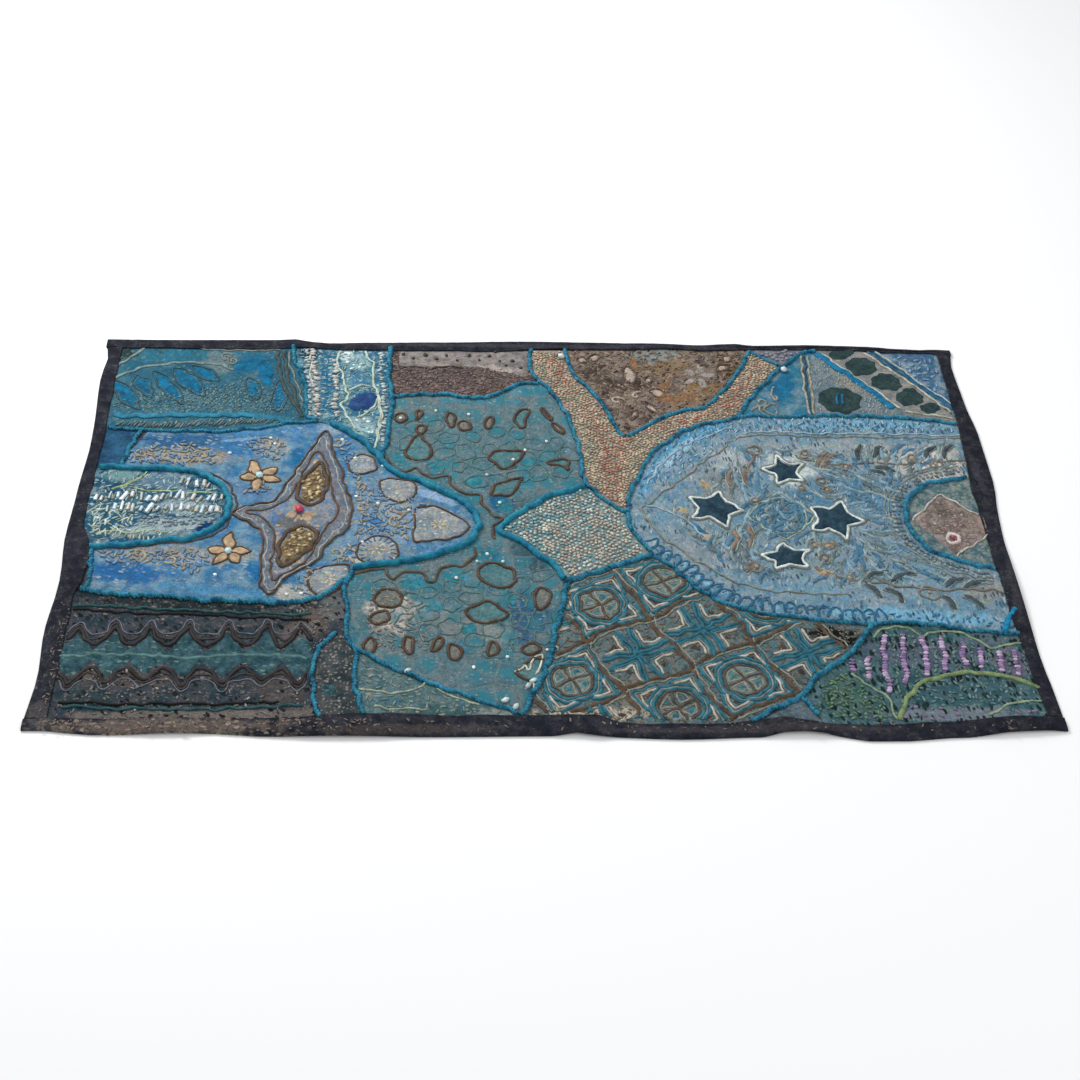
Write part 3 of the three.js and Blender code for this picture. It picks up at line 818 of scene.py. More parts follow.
def cord_mesh(name, route, width, smooth):
    """A cord along a route: a twisted two-ply section, pinched by its couching stitches."""
    line = by_hand(even_line(route, CORD_STEP))
    along = np.arange(len(line))[:, None] * CORD_STEP
    turn = np.linspace(0, 2 * math.pi, 8 if smooth else 10, endpoint=False)
    wobble = np.array([[noise.noise(Vector((x / 7, y / 7, width)))] for x, y in line])
    if smooth:
        reach = 1 - 0.05 * np.maximum(np.cos(math.pi * along / CORD_STEP), 0) + 0.08 * wobble
        lie = turn + 0 * along
    else:
        reach = 1 - 0.3 * np.maximum(np.cos(2 * math.pi * along / COUCHING), 0) ** 4
        reach = reach * (1 + 0.25 * wobble) * (0.84 + 0.16 * np.cos(2 * turn))
        lie = turn + along / TWIST * 2 * math.pi
    reach = reach * width / 2
    level = top_at(line[:, :1], line[:, 1:]) + width * 0.15 + reach * np.sin(lie)
    level = over_backing(line, level)
    return mesh_of(name, *swept(rings_along(line, reach * np.cos(lie), level)))


yarn = cloth("turquoise_yarn", [0x14506E, 0x3886A0], 0.012, 0.6, 0.2, pitch=0.0009, rough=0.6)
wound_satin = cloth("wound_satin", [0x085C7C, 0x2A829A], 0.018, 0.6, pitch=0.0009, rough=0.5, crease_shade=0.3)
for seam_name, route in ROUTES.items():
    smooth = seam_name in SATIN_CORDS
    shown("cord_" + seam_name, cord_mesh(seam_name, route, CORD_WIDTHS.get(seam_name, 8.5), smooth),
        wound_satin if smooth else yarn)

# ---------------- leaf scrap's embroidery
# Satin-stitched leaves hang from an arched stem over seed stitching, above a couched ribbon
# and a row of slanting stitches. This section also makes the tools for all the needlework.


def turned(shape, x, y, turn=0, long=1, wide=1):
    """A unit shape stretched, turned by some degrees and moved to a place."""
    c, s = math.cos(math.radians(turn)), math.sin(math.radians(turn))
    return np.array(shape, float) * (long, wide) @ np.array([[c, s], [-s, c]]) + (x, y)


ROUND = [(0.5 * math.cos(k * math.pi / 10), 0.5 * math.sin(k * math.pi / 10)) for k in range(20)]
LEAF = ([(0.05 * k - 0.5, 0.5 * math.sin(math.pi * k / 20) ** 0.8) for k in range(20)] + [(0.5 - 0.05 * k,
    -0.5 * math.sin(math.pi * k / 20) ** 0.8) for k in range(20)])
DROP = [(0.5 * math.cos(t), 0.5 * math.sin(t) * math.sin(t / 2) ** 0.9)
    for t in (k * math.pi / 12 for k in range(24))]
STAR = [(r * math.cos(t), r * math.sin(t)) for r, t in ((0.28 if k % 2 else 0.5, (k / 5 + 0.5) * math.pi)
    for k in range(10))]


def flower(petals, depth):
    """A unit round with a waved rim."""
    return [((0.5 - depth + depth * math.cos(petals * t)) * math.cos(t),
        (0.5 - depth + depth * math.cos(petals * t)) * math.sin(t))
        for t in (k * math.pi / 24 for k in range(48))]


def set_out(shape, places, grow=0):
    """A unit shape at places given as x, y, turn, length and width, perhaps grown a little."""
    return [turned(shape, x, y, turn, long + grow, wide + grow) for x, y, turn, long, wide in places]


def off(x, y, way, reach, squash=1):
    """The place at a distance from another, some degrees round from the right."""
    return (x + reach * math.cos(math.radians(way)), y + reach * squash * math.sin(math.radians(way)))


def ringed(shape):
    """A shape as a line that comes back to its start."""
    return np.vstack([shape, shape[:1]])


def cornered(points):
    """A line with close points, so that its corners stay sharp when it is smoothed."""
    run = np.array(points, float)
    return np.vstack([a + (b - a) * np.linspace(0, 1, 8, endpoint=False)[:, None]
        for a, b in zip(run[:-1], run[1:])] + [run[-1:]])


def curl(x, y, radius, start, turns=1.3):
    """A line that winds inwards around a place."""
    return [(x + radius * (1 - 0.75 * k / 11) * math.cos(start + turns * 2 * math.pi * k / 11),
        y + radius * (1 - 0.75 * k / 11) * math.sin(start + turns * 2 * math.pi * k / 11))
        for k in range(12)]


def beside(points, distance):
    """A line that keeps to one side of another, at a distance."""
    line = even_line(points, 8)
    ahead = np.gradient(line, axis=0)
    ahead /= np.linalg.norm(ahead, axis=1)[:, None]
    return line + distance * np.stack([-ahead[:, 1], ahead[:, 0]], axis=1)


def places_in(outline, pitch, turn=0, jitter=0, aspect=1, margin=3):
    """Places in rows inside an outline, the rows turned by some degrees."""
    rim = dense_outline(outline, 8)
    middle = rim.mean(axis=0)
    reach = np.linalg.norm(rim - middle, axis=1).max()
    along = np.arange(-reach, reach, pitch * aspect)
    across = np.arange(-reach, reach, pitch)
    net = np.array([(a + (k % 2) * pitch * aspect / 2, b) for k, b in enumerate(across) for a in along])
    spots = turned(net, *middle, turn) + chance.uniform(-jitter, jitter, net.shape)
    spots = spots[inside(spots, rim)]
    return spots[from_outline(spots, rim) > margin]


def clear_of(spots, middles, gap):
    """The places that keep a gap from all of some middles."""
    far = np.linalg.norm(spots[:, None] - np.array(middles)[:, :2], axis=2)
    return spots[far.min(axis=1) > gap]


THREAD, BEAD = (0.6, 0.12), (0.35, 0.3)
DARKER, LIGHTER = 0.6, 1.4
threads_made = {}


def thread(name, tint, kind=THREAD):
    """A thread or bead of one colour, a little lighter and darker along its run."""
    if not isinstance(tint, int):
        return tint
    if (tint, kind) not in threads_made:
        finish, tree, shader, place = bare_finish(name + "_thread", *kind)
        soft = cloud(tree, place, 110, 4).outputs[0]
        low = tuple(v * DARKER for v in srgb(tint))
        high = tuple(min(v * LIGHTER, 1) for v in srgb(tint))
        share = times(tree, soft, 2.6, -0.8, clamp=True)
        tree.links.new(blended(tree, share, low, high), shader.inputs["Base Color"])
        threads_made[tint, kind] = finish
    return threads_made[tint, kind]


STITCH = 2.4


def stitched(name, lines, width, finish, over=0.5, flat=0.8, chain=0.25, taper=0):
    """Sewn lines: a slender round thread along each one, drawn in at every stitch."""
    sides = 5 if width < 6 else 8
    turn = np.arange(sides) * 2 * math.pi / sides + math.pi / 2
    corners, faces = np.zeros((0, 3)), []
    for line in lines:
        closed = bool(np.allclose(line[0], line[-1]))
        run = by_hand(even_line(line[:-1] if closed else line, STITCH, closed))
        count = np.arange(len(run))
        swell = 1 + chain * (count % 2 - 0.5) + 0.12 * np.sin(count / 3.1)
        swell[[0, -1]] = swell[[0, -1]] if closed else 0.45
        swell *= np.sin(np.pi * (count + 0.6) / (len(run) + 0.2)) ** taper
        reach = width / 2 * swell[:, None]
        level = top_at(run[:, :1], run[:, 1:]) + over + reach * flat * np.sin(turn)
        rings = rings_along(run, reach * np.cos(turn), over_backing(run, level), closed)
        more, skin = swept(rings, closed, len(corners))
        corners = np.vstack([corners, more])
        faces += skin
    return shown(name, mesh_of(name, corners, faces), thread(name, finish))


def template(kind):
    """One small bead or stitch of unit size: its corners and faces."""
    form = bmesh.new()
    if kind == "bead":
        bmesh.ops.create_icosphere(form, subdivisions=1, radius=0.5)
    elif kind == "stitch":
        bmesh.ops.create_uvsphere(form, u_segments=4, v_segments=4, radius=0.5)
    else:
        sides, top = (6, 0.5) if kind == "bugle" else (8, 0.42)
        bmesh.ops.create_cone(form, cap_ends=True, segments=sides, radius1=0.5, radius2=top, depth=1)
    if kind in ("stitch", "bugle"):
        bmesh.ops.rotate(form, verts=form.verts[:], cent=(0, 0, 0),
            matrix=Vector((0, 0, 1)).rotation_difference((1, 0, 0)).to_matrix())
    corners = np.array([v.co for v in form.verts])
    faces = [[v.index for v in f.verts] for f in form.faces]
    form.free()
    return corners, faces


def sewn(name, spots, size, finish, kind="bead", turn=0, sway=0, vary=0.15, over=0.4):
    """Many small beads, sequins or stitches in one mesh; size is long, wide and high."""
    corners, faces = template(kind)
    spots = by_hand(np.array(spots, float).reshape(-1, 2))
    count = len(spots)
    angle = np.radians(turn + chance.uniform(-sway, sway, count))[:, None]
    grow = 1 + chance.uniform(-vary, vary, (count, 3))
    x = corners[:, 0] * size[0] * grow[:, :1]
    y = corners[:, 1] * size[1] * grow[:, 1:2]
    z = corners[:, 2] * size[2] * grow[:, 2:]
    level = top_at(spots[:, 0], spots[:, 1])[:, None] + over + size[2] * 0.3
    placed = np.stack([spots[:, :1] + x * np.cos(angle) - y * np.sin(angle), spots[:, 1:]
        + x * np.sin(angle) + y * np.cos(angle), level + z], axis=-1)
    every = [[c + k * len(corners) for c in face] for k in range(count) for face in faces]
    look, slot = ((THREAD, "embroidery_thread") if kind == "stitch" else (BEAD, "beads_sequins"))
    mesh = mesh_of(name, placed.reshape(-1, 3), every, kind != "bugle")
    return shown(name, mesh, thread(name, finish, look))


def outlined(name, shapes, width, finish, **lie):
    """A sewn line round each of some shapes."""
    return stitched(name, [ringed(shape) for shape in shapes], width, finish, **lie)


def shared_out(spots, lot, shades):
    """Spots shared out by lot among shades: name, tint and the lot at which each ends."""
    low = -9
    for name, tint, high in shades:
        yield name, tint, spots[(lot >= low) & (lot < high)]
        low = high


def stitches(name, spots, size, finish, turn=0, sway=90, vary=0.3, over=0.3):
    """Short straight stitches; size is their length and width."""
    return sewn(name, spots, (*size, size[1] * 0.55), finish, "stitch", turn, sway, vary, over)


def applique(name, shapes, finish, rise=0.4, puff=0.9, spacing=5, soft=5):
    """Small cut shapes of cloth sewn on a piece, or padded satin stitch where the finish is a thread
    colour.
    """
    def level(plan, rim):
        ease = np.clip(from_outline(plan, rim) / soft, 0, 1)
        return top_at(plan[:, 0], plan[:, 1]) + rise - 0.5 + (puff + 0.5) * np.sin(ease * 1.57)
    cut = [by_hand(shape) for shape in shapes]
    piece = shown(name, sheet_mesh(name, cut, spacing, level), thread(name, finish))
    return piece


BROWN, LIME, CREAM = 0x544236, 0x9EAC80, 0xC6C8B8
leaf_places = [(-709, 300, -58, 88, 24), (-683, 325, -60, 64, 20), (-640, 322, -56, 100, 20),
    (-606, 338, -50, 96, 28), (-580, 360, -38, 62, 22), (-447, 300, -88, 86, 20), (-494, 322, -72, 60, 18),
    (-506, 386, 28, 66, 44), (-474, 362, -78, 84, 30)]
satin = cloth("azure_satin", [0x004A68, 0x006A90], 0.014, pitch=0.0008, rough=0.6)
applique("satin_leaves", set_out(LEAF, leaf_places), satin, rise=0.1, soft=9)
outlined("leaf_outlines", set_out(LEAF, leaf_places[:7], 6), 3.2, 0x2A505C, flat=0.4)
stitched("leaf_stems", [[(-735, 345), (-700, 371), (-650, 386), (-600, 391), (-560, 387), (-532, 374)],
    [(-738, 372), (-718, 400), (-694, 432)]], 6, 0x687C7A, flat=0.3)
stitched("leaf_tendrils", [curl(-548, 408, 13, 0.5), curl(-534, 396, 9, 2.5),
    [(-600, 428), (-520, 426), (-450, 430)]], 3, 0x7A827A)
stitched("leaf_dark_band", [[(-456, 426), (-450, 370), (-437, 322), (-418, 280), (-404, 244)], [(-446, 426),
    (-439, 372), (-427, 324), (-410, 270)]], 7, 0x344242, flat=0.3)
stitched("leaf_band_light", [[(-436, 424), (-431, 380), (-419, 330), (-404, 284)]], 4, 0x707A74, flat=0.4)
stitched("leaf_ribbon", [[(-728, 245), (-650, 246), (-560, 250), (-500, 248), (-450, 239), (-418, 232)]],
    13, 0x1A6C86, flat=0.22, chain=0.04)
twill_line = even_line([(-712, 222), (-620, 222), (-540, 226), (-480, 233), (-450, 230)], 9)
stitches("slanting_stitches", twill_line, (15, 3.6), 0x706E6C, 62, 14)
stitches("slanting_teal", twill_line + (4, 1), (13, 3.2), 0x427078, 60, 16)
stitches("slanting_pale", twill_line[::2] + (6, 6), (9, 3), 0x828C82, 62, 30)
seed_places = places_in([(-735, 262), (-560, 262), (-470, 262), (-412, 250), (-440, 330), (-520, 345),
    (-640, 300), (-735, 285)], 9, 35, 2.4)
stitches("seed_stitches", seed_places, (6.5, 2.2), 0x647E7E, 55, 40)

# ---------------- beaded strip
# Columns of cream bugle beads and larger pale beads, wandering chain stitch, an oval of
# navy cloth and bits of pearly sequin, all sewn through the teal silk.
PEARL, BONE = 0xBECECE, 0xB4B8B2


def column(heights, across, pitch):
    """Bead places down a column that leans from one height to the next."""
    y = np.arange(heights[0], heights[-1], pitch)
    spots = np.stack([np.interp(y, heights, across), y], axis=1)
    return spots + chance.uniform(-2.5, 2.5, spots.shape)


LEFT_ROW = column((250, 300, 360, 428), (-382, -390, -392, -402), 7)
sewn("bone_beads", np.vstack([LEFT_ROW[::2] + (5, 0), column((256, 330, 410), (-346, -352, -358), 11)]),
    (13, 8, 4), BONE, "bead", 0, 30, 0.35)
sewn("pink_beads", np.vstack([LEFT_ROW[1::2] + (3, 0), column((250, 400), (-350, -352), 26)]), (10, 7, 4),
    0xB0A8A4, "bead", 0, 40, 0.35)
sewn("pale_ladder", np.vstack([LEFT_ROW - (8, 0), column((168, 260, 340, 428), (-264, -262, -270, -276),
    8.5)]), (11, 6, 3.4), 0xA4B2B4, "bead", 5, 30, 0.35)
stitched("strip_chain", [[(-345, 430), (-352, 388), (-340, 360), (-332, 322), (-326, 304), (-338, 280),
    (-330, 256), (-320, 236), (-318, 212)], [(-305, 430), (-290, 398), (-286, 352), (-280, 318),
    (-273, 280), (-272, 220), (-274, 164)], [(-326, 322), (-306, 330), (-288, 334)],
    [(-276, 300), (-292, 262), (-308, 246)]], 4.6, 0xAABAAC)
stitched("strip_cream_line", [[(-398, 428), (-396, 380), (-392, 330)],
    [(-278, 318), (-270, 270), (-270, 190)]], 3.6, 0xC0C0B0)
navy_cloth = cloth("navy_cotton", [0x203C6C, 0x2E507C], 0.02, crease_shade=0.3)
applique("navy_oval", [turned(ROUND, -302, 287, 42, 62, 38)], navy_cloth, rise=0.8, puff=1.8)
sewn("pearly_sequins", np.vstack([places_in([(-346, 432), (-322, 432), (-300, 380), (-326, 370)], 12, 20,
    4), places_in([(-322, 250), (-286, 256), (-272, 185), (-310, 225)], 13, 20, 4)]), (8, 6, 1), PEARL,
    "sequin", 0, 90, 0.4)
stitches("strip_stitches", places_in(cuts["beaded_strip"], 11, 20, 5, margin=6), (9, 2.8), 0x849EA2, 30, 80)

# ---------------- brown scrap
# A pale band with two rows of black knots lies along the top of the mottled brown cotton. It
# is cut cloth, sewn on and hemmed below in dark thread.
applique("pale_band", [[(-243, 434), (-12, 434), (-14, 358), (-60, 372), (-100, 388), (-160, 389),
    (-243, 387)]], cloth("pale_mauve_cotton", [0x86817E, 0x6C6562], 0.016, 0.45, 0.15,
    washes=[(-120, 378, 200, 34, 0xA69D96, 0.9)]), rise=0.2, puff=0.4)
sewn("black_knots", [(-236 + 19.5 * k, 413 + 6 * (-1) ** k) for k in range(10)] + [(-40, 406), (-24, 386),
    (-52, 392), (-66, 430)], (9, 7, 2.4), 0x302A2A, "bead", 90, 30, vary=0.35, over=0.9)
stitched("dark_hem", [[(-243, 386), (-190, 384), (-130, 386)]], 3, 0x3C3432)
knots = places_in(cuts["brown_scrap"], 9, 15, 3, margin=8)
stitches("brown_knots", knots[knots[:, 1] < 384 - 0.15 * np.maximum(knots[:, 0] + 100, 0)], (8, 3),
    0x786862)

# ---------------- yoke scrap's embroidery
# Cornflower satin, gold scrollwork and small gold flowers. A padded grey-mauve double kite
# stands in the middle around two gold-seeded drops, with grey medallions beside it.
KITE = [(-362, 207), (-345, 152), (-330, 108), (-319, 60), (-311, 12), (-312, -8), (-321, -40), (-343, -62),
    (-362, -104), (-388, -130), (-410, -150), (-427, -181), (-443, -160), (-450, -110), (-449, -50),
    (-470, -22), (-500, 4), (-468, 24), (-437, 34), (-422, 66), (-406, 108), (-384, 158)]
KITE_INNER = [(-371, 156), (-353, 106), (-345, 60), (-333, 16), (-336, -10), (-352, -38), (-362, -70),
    (-384, -116), (-410, -138), (-425, -152), (-431, -118), (-428, -60), (-436, -32), (-454, -10),
    (-480, 3), (-446, 14), (-414, 40), (-403, 72), (-389, 112)]
applique("kite_band", [dense_outline(KITE, 12)], cloth("grey_mauve_band", [0x54687A, 0x767478], 0.018,
    flecks=[specks(0x8A9298, 6, 2.5, 1.3, share=0.6)]), rise=0.5, puff=1.2)
applique("kite_ground", [dense_outline(KITE_INNER, 12)], cloth("speckled_blue_silk", [0x4E7098, 0x868C8E],
    0.02, 0.5, 0.2, washes=[(-372, -10, 60, 60, 0x787E86, 0.6), (-405, -20, 50, 60, 0x545656, 0.7)],
    flecks=[specks(0xBAA27C, 8, 1.6, share=0.5)]), rise=1.3, puff=0.6)
kite_rings = [even_line(KITE, 10, True), even_line(KITE_INNER, 10, True)]
kite_rings.append(np.array([(2 * a + kite_rings[1][np.linalg.norm(kite_rings[1] - a, axis=1).argmin()]) / 3
    for a in kite_rings[0]]))
outlined("kite_lines", kite_rings[:2], 3.4, BROWN, over=1.9)
outlined("kite_middle_lines", kite_rings[2:], 2.6, 0x969C98, over=1.4)
drop_places = [(-375, 74, 81, 92, 50), (-397, -74, 247, 92, 54)]
drops = set_out(DROP, drop_places)
applique("seeded_drops", drops, cloth("gold_seeded_cloth", [0x584A38, 0x8A7A5C], 0.01), rise=1.6, puff=2.2)
outlined("drop_outlines", set_out(DROP, drop_places, 9.5), 8, 0x504030, over=2.2, flat=0.5)
drop_spots = np.vstack([places_in(drop, 8.5, 40, 2.6, margin=4) for drop in drops])
sewn("gold_seeds", drop_spots[::2], (9, 6.5, 4), 0xBEAA82, turn=40, sway=60, vary=0.4, over=3.2)
sewn("dull_gold_seeds", drop_spots[1::2], (8, 5, 3.4), 0x968462, turn=40, sway=60, vary=0.4, over=3.2)

medallions = set_out(ROUND, [(-297, 124, 30, 48, 46), (-236, 60, 60, 52, 66), (-265, -82, 90, 66, 66)])
medallions += [[(-315, -112), (-340, -116), (-366, -128), (-371, -150), (-362, -172), (-346, -182),
    (-322, -164), (-308, -136)], [(-206, 16), (-178, 18), (-152, 8), (-130, -10), (-118, -30), (-140, -48),
    (-170, -56), (-208, -58), (-209, -20)]]
applique("medallions", medallions, cloth("grey_medallion_silk", [0x748692, 0x969896], 0.012, 0.5, 0.2,
    flecks=[specks(0xB0B0A6, 6.5, 1.5, fill=0.28, share=0.6)]), rise=0.6, puff=1.6)
outlined("medallion_lines", [even_line(shape, 8, True) for shape in medallions], 3.4, BROWN, over=0.9)
stitched("medallion_rays", [[off(x, y, way, 4), off(x, y, way, 13)]
    for x, y in ((-265, -82), (-338, -146), (-172, -22)) for way in range(0, 360, 60)], 3, 0xBEAE88,
    over=2.1)
stitched("medallion_spokes", [[off(-265, -82, way, 20), off(-265, -82, way, 30)]
    for way in range(0, 360, 20)], 2.4, 0x3E648C, over=2)

petals = [turned(LEAF, *off(x, y, way, 0.52 * long), way, long, 19) for x, y, ways in ((-466, 93,
    ((112, 44), (36, 34), (-22, 34), (-100, 40), (182, 30))), (-501, -87, ((88, 46), (8, 34), (-56, 33),
    (-126, 36), (164, 32)))) for way, long in ways]
applique("gold_petals", petals, 0xA68E70, rise=0.8, puff=1.6, spacing=4)
stitched("petal_lines", [ringed(petal) for petal in petals]
    + [[petal[3], petal[0] * 0.35 + petal[20] * 0.65] for petal in petals], 3, 0x544232, over=0.9)
applique("small_flower", [turned(LEAF, *off(-392, 4, way, 17, 0.9), way, 26, 13)
    for way in (200, 250, 300, 345, 120)], 0x9E876E, rise=1.9, puff=1.2, spacing=4)
sewn("flower_pearls", [(-465, 93), (-501, -87)], (15, 14, 6), 0xB0D4DC, over=2)
sewn("red_bead", [(-391, 10)], (14, 18, 7), 0xC4405C, over=3.4)

# gold scrollwork: short stitches crowded along sprays, with a few curls
GOLD_AREAS = [[(-690, 158), (-640, 166), (-590, 182), (-545, 160), (-535, 112), (-600, 122), (-690, 120)],
    [(-505, 186), (-470, 202), (-430, 186), (-420, 146), (-450, 128), (-480, 150)], [(-704, -84),
    (-560, -78), (-520, -96), (-540, -152), (-590, -118), (-700, -112)], [(-352, 200), (-318, 176),
    (-300, 100), (-262, 60), (-186, 30), (-210, -20), (-214, -60), (-260, -40), (-306, -60), (-300, 20),
    (-316, 100), (-334, 150)], [(-322, -70), (-290, -50), (-300, -110), (-380, -120), (-400, -170),
    (-360, -186), (-344, -110)], [(-494, 44), (-440, 44), (-450, 84), (-490, 66)]]
gold_spots = np.vstack([places_in(area, 8.5, 20, 4) for area in GOLD_AREAS])
lot = chance.random(len(gold_spots)) + 0.25 * np.sin(gold_spots[:, 0] / 11)
for shade, tint, spots in shared_out(gold_spots, lot, (("gold", 0x988E7E, 0.2), ("sage", 0x8C908A, 0.5),
        ("blue", 0x6C8AA6, 9))):
    stitches("scroll_stitches_" + shade, spots, (11, 5), tint, over=0.1)
SCROLLS = [(-664, 148), (-604, 160), (-572, 146), (-462, 178), (-640, -96), (-590, -106), (-338, 182),
    (-288, 20), (-238, -16), (-330, -86)]
stitched("gold_scrolls", [curl(x, y, 12, 0.1 * x, 0.9) for x, y in SCROLLS], 4.4, 0x9E927A, over=0.3)
sewn("yoke_sequins", [(-305, 46), (-268, 30), (-218, 14), (-290, -60), (-244, -88), (-196, 2), (-520, 150),
    (-452, 190), (-448, 176), (-310, 140), (-262, 118), (-380, -176), (-400, -180), (-516, -140),
    (-332, 190)], (7, 6, 2), 0xD6DEDE, "sequin")

# ---------------- bead half round
# Slanting rows of long white beads and a tangle of pale chain stitch on teal silk, with a
# dark line worked round the outside of its cord.
rows = np.array([(x, y + 4 * math.sin(x / 14)) for y, left, right in ((38, -726, -518), (12, -706, -520),
    (74, -590, -536)) for x in np.arange(left, right, 12)])
rows += chance.uniform(-2, 2, rows.shape)
for k, (tint, size) in enumerate(((0xC4D2D8, (17, 7, 4.5)), (0xB2B2AC, (13, 6, 4)),
        (0x8C9894, (14, 5, 3.4)), (0xA4BCCC, (16, 6, 4)))):
    sewn("white_bugles_%d" % k, rows[k::4], size, tint, "bugle", 80, 16, vary=0.35, over=1)
stitches("bugle_gaps", rows + (6, -2), (14, 3.4), 0x84826C, 78, 25)
stitched("bead_chain", [[(-648, 102), (-664, 84), (-690, 64)], [(-652, 96), (-670, 76), (-700, 58)],
    [(-672, 60), (-620, 54), (-580, 50), (-532, 50)], [(-712, -48), (-690, -40), (-660, -44), (-640, -40),
    (-600, -42)]], 3.2, LIME)
tangle = places_in([(-735, 34), (-660, 10), (-640, -50), (-728, -56)], 12, 15, 4)
stitches("cream_tangle", tangle, (15, 3.6), 0xA4B29E)
stitches("white_tangle", tangle[::2] + (4, 4), (13, 4), 0xBECEC8)
stitches("tangle_row", [(x, -50 + 8 * math.sin(x / 30)) for x in np.arange(-708, -566, 8)], (13, 3.6),
    0xB0B094, 80, 20)
sewn("grey_seeds", places_in([(-650, -2), (-525, 4), (-540, -34), (-650, -32)], 9, 10, 2), (8, 5, 3),
    0x80929A, over=0.6)
stitches("pale_seeds", places_in(cuts["bead_half_round"], 13, 35, 5, margin=12), (11, 3.6), 0x96ACAE, 60,
    50)
stitched("half_round_line", [[(-560, 104), (-530, 90), (-512, 66), (-500, 36), (-498, 8), (-506, -20),
    (-528, -46), (-560, -62), (-612, -70), (-680, -80)]], 3.4, 0x4C423C)

# ---------------- paisley scraps
# Small brown-edged ovals, drops and leaves on scaled silk, under a scalloped brown edge.
# Ovals are given as place, turn, length and width.
UPPER_OVALS = [(-234, 245, 0, 20, 22), (-206, 252, 88, 30, 12), (-150, 243, 92, 36, 16),
    (-126, 225, -30, 26, 22), (-84, 236, 80, 30, 15), (16, 258, -72, 38, 9), (-200, 214, 90, 22, 17),
    (34, 222, -55, 34, 9)]
LOWER_OVALS = [(-246, -186, 0, 42, 42), (-272, -286, 80, 36, 14), (-214, -284, 100, 32, 14),
    (-170, -284, 60, 26, 14), (-144, -298, 100, 32, 16), (-86, -294, 88, 34, 15), (-8, -186, 78, 44, 24),
    (-28, -294, 20, 26, 20), (-256, -228, 45, 30, 26)]
LEAVES = [[(-88, 146), (-66, 160), (-36, 166), (-26, 158), (-38, 140), (-64, 116), (-78, 132)], [(-86, 52),
    (-76, 74), (-50, 88), (-26, 96), (-36, 74), (-46, 56), (-62, 50)], [(16, 128), (28, 140), (46, 142),
    (46, 112), (40, 122)], [(-40, 256), (-16, 272), (-22, 236), (-28, 222), (-34, 236)], [(-104, -120),
    (-80, -108), (-52, -124), (-50, -154), (-72, -164), (-98, -148)], [(-124, -212), (-100, -196),
    (-84, -196), (-62, -222), (-86, -238), (-112, -232)], [(-22, -358), (-8, -338), (-14, -312),
    (-34, -318), (-50, -340)]]
ovals = set_out(ROUND, UPPER_OVALS + LOWER_OVALS)
upper_drop = turned(DROP, -204, 168, 92, 64, 54)
leaves = [even_line(shape, 6, True) for shape in LEAVES]
applique("leaf_fills", [upper_drop] + leaves, cloth("leaf_fill_silk", [0x3E707A, 0x5C7A7A], 0.012), rise=0,
    puff=0.8)
applique("oval_fills", ovals, cloth("oval_fill_silk", [0x606C6C, 0x7C7A70], 0.01), rise=0.1, puff=0.6,
    spacing=4)
outlined("brown_outlines", ovals + [upper_drop] + leaves, 5.2, 0x504034, over=0.7)
stitched("scallop_edges", [[(-262, 152), (-248, 122), (-226, 108), (-206, 114), (-198, 100), (-176, 90),
    (-152, 96), (-146, 70), (-126, 52), (-102, 48), (-94, 22), (-80, 4), (-66, -8), (-80, -24), (-78, -52)],
    [(-300, -132), (-268, -124), (-250, -126), (-240, -146), (-226, -130), (-200, -126), (-180, -150),
    (-168, -128), (-150, -112), (-128, -114), (-114, -92), (-112, -70)]], 5, 0x584A3E, over=0.6)
scale_spots = np.vstack([places_in([(-236, 150), (-236, 230), (-60, 230), (50, 200), (70, 80), (-50, 60),
    (-100, 60)], 38, 10, 5), places_in([(-270, -160), (-60, -110), (20, -120), (20, -260), (-40, -320),
    (-240, -250)], 38, 25, 5)])
outlined("scale_rings", [turned(flower(5, 0.03), x, y, 3 * x + y, long, wide)
    for (x, y), long, wide in zip(scale_spots, chance.uniform(30, 42, len(scale_spots)),
    chance.uniform(26, 36, len(scale_spots)))], 3.2, 0x506C6E, over=0)
stitches("fawn_stitches", places_in([(-280, -150), (-220, -160), (-190, -220), (-180, -300), (-280, -300)],
    10, 20, 4), (9, 3.4), 0x847A70, over=0.1)
applique("scale_hearts", [turned(flower(4, 0.04), x, y, x, long, wide)
    for x, y, long, wide in ((-236, 140, 50, 28), (-172, 122, 38, 36), (-112, 84, 40, 32),
    (-18, 132, 40, 36), (-60, 24, 46, 34), (-88, -86, 36, 34), (-212, -156, 44, 36), (-138, -136, 36, 34),
    (-60, -182, 50, 26), (-120, -252, 38, 32), (-172, -208, 36, 30))], cloth("scale_heart_silk",
    [0x246C7C, 0x40808A], 0.01), rise=0, puff=0.5, spacing=6, soft=8)
sewn("paisley_sequins", [(-118, 254), (-176, 266), (-70, 30), (-24, 166), (-46, 140), (-138, -140),
    (-90, -90), (-108, -104), (-66, -104), (-64, -310), (-116, -330), (-88, 96), (-232, 244), (12, 186),
    (-6, -296)], (6, 6, 2.2), 0xCEDAD6, "sequin", over=0.9)
stitched("cream_zigzag", [[(-52, -340), (-38, -322), (-34, -334), (-22, -312), (-12, -306), (-14, -324),
    (-24, -340)], [(-36, -372), (-30, -360), (-24, -372)]], 3.4, CREAM, over=1.2)

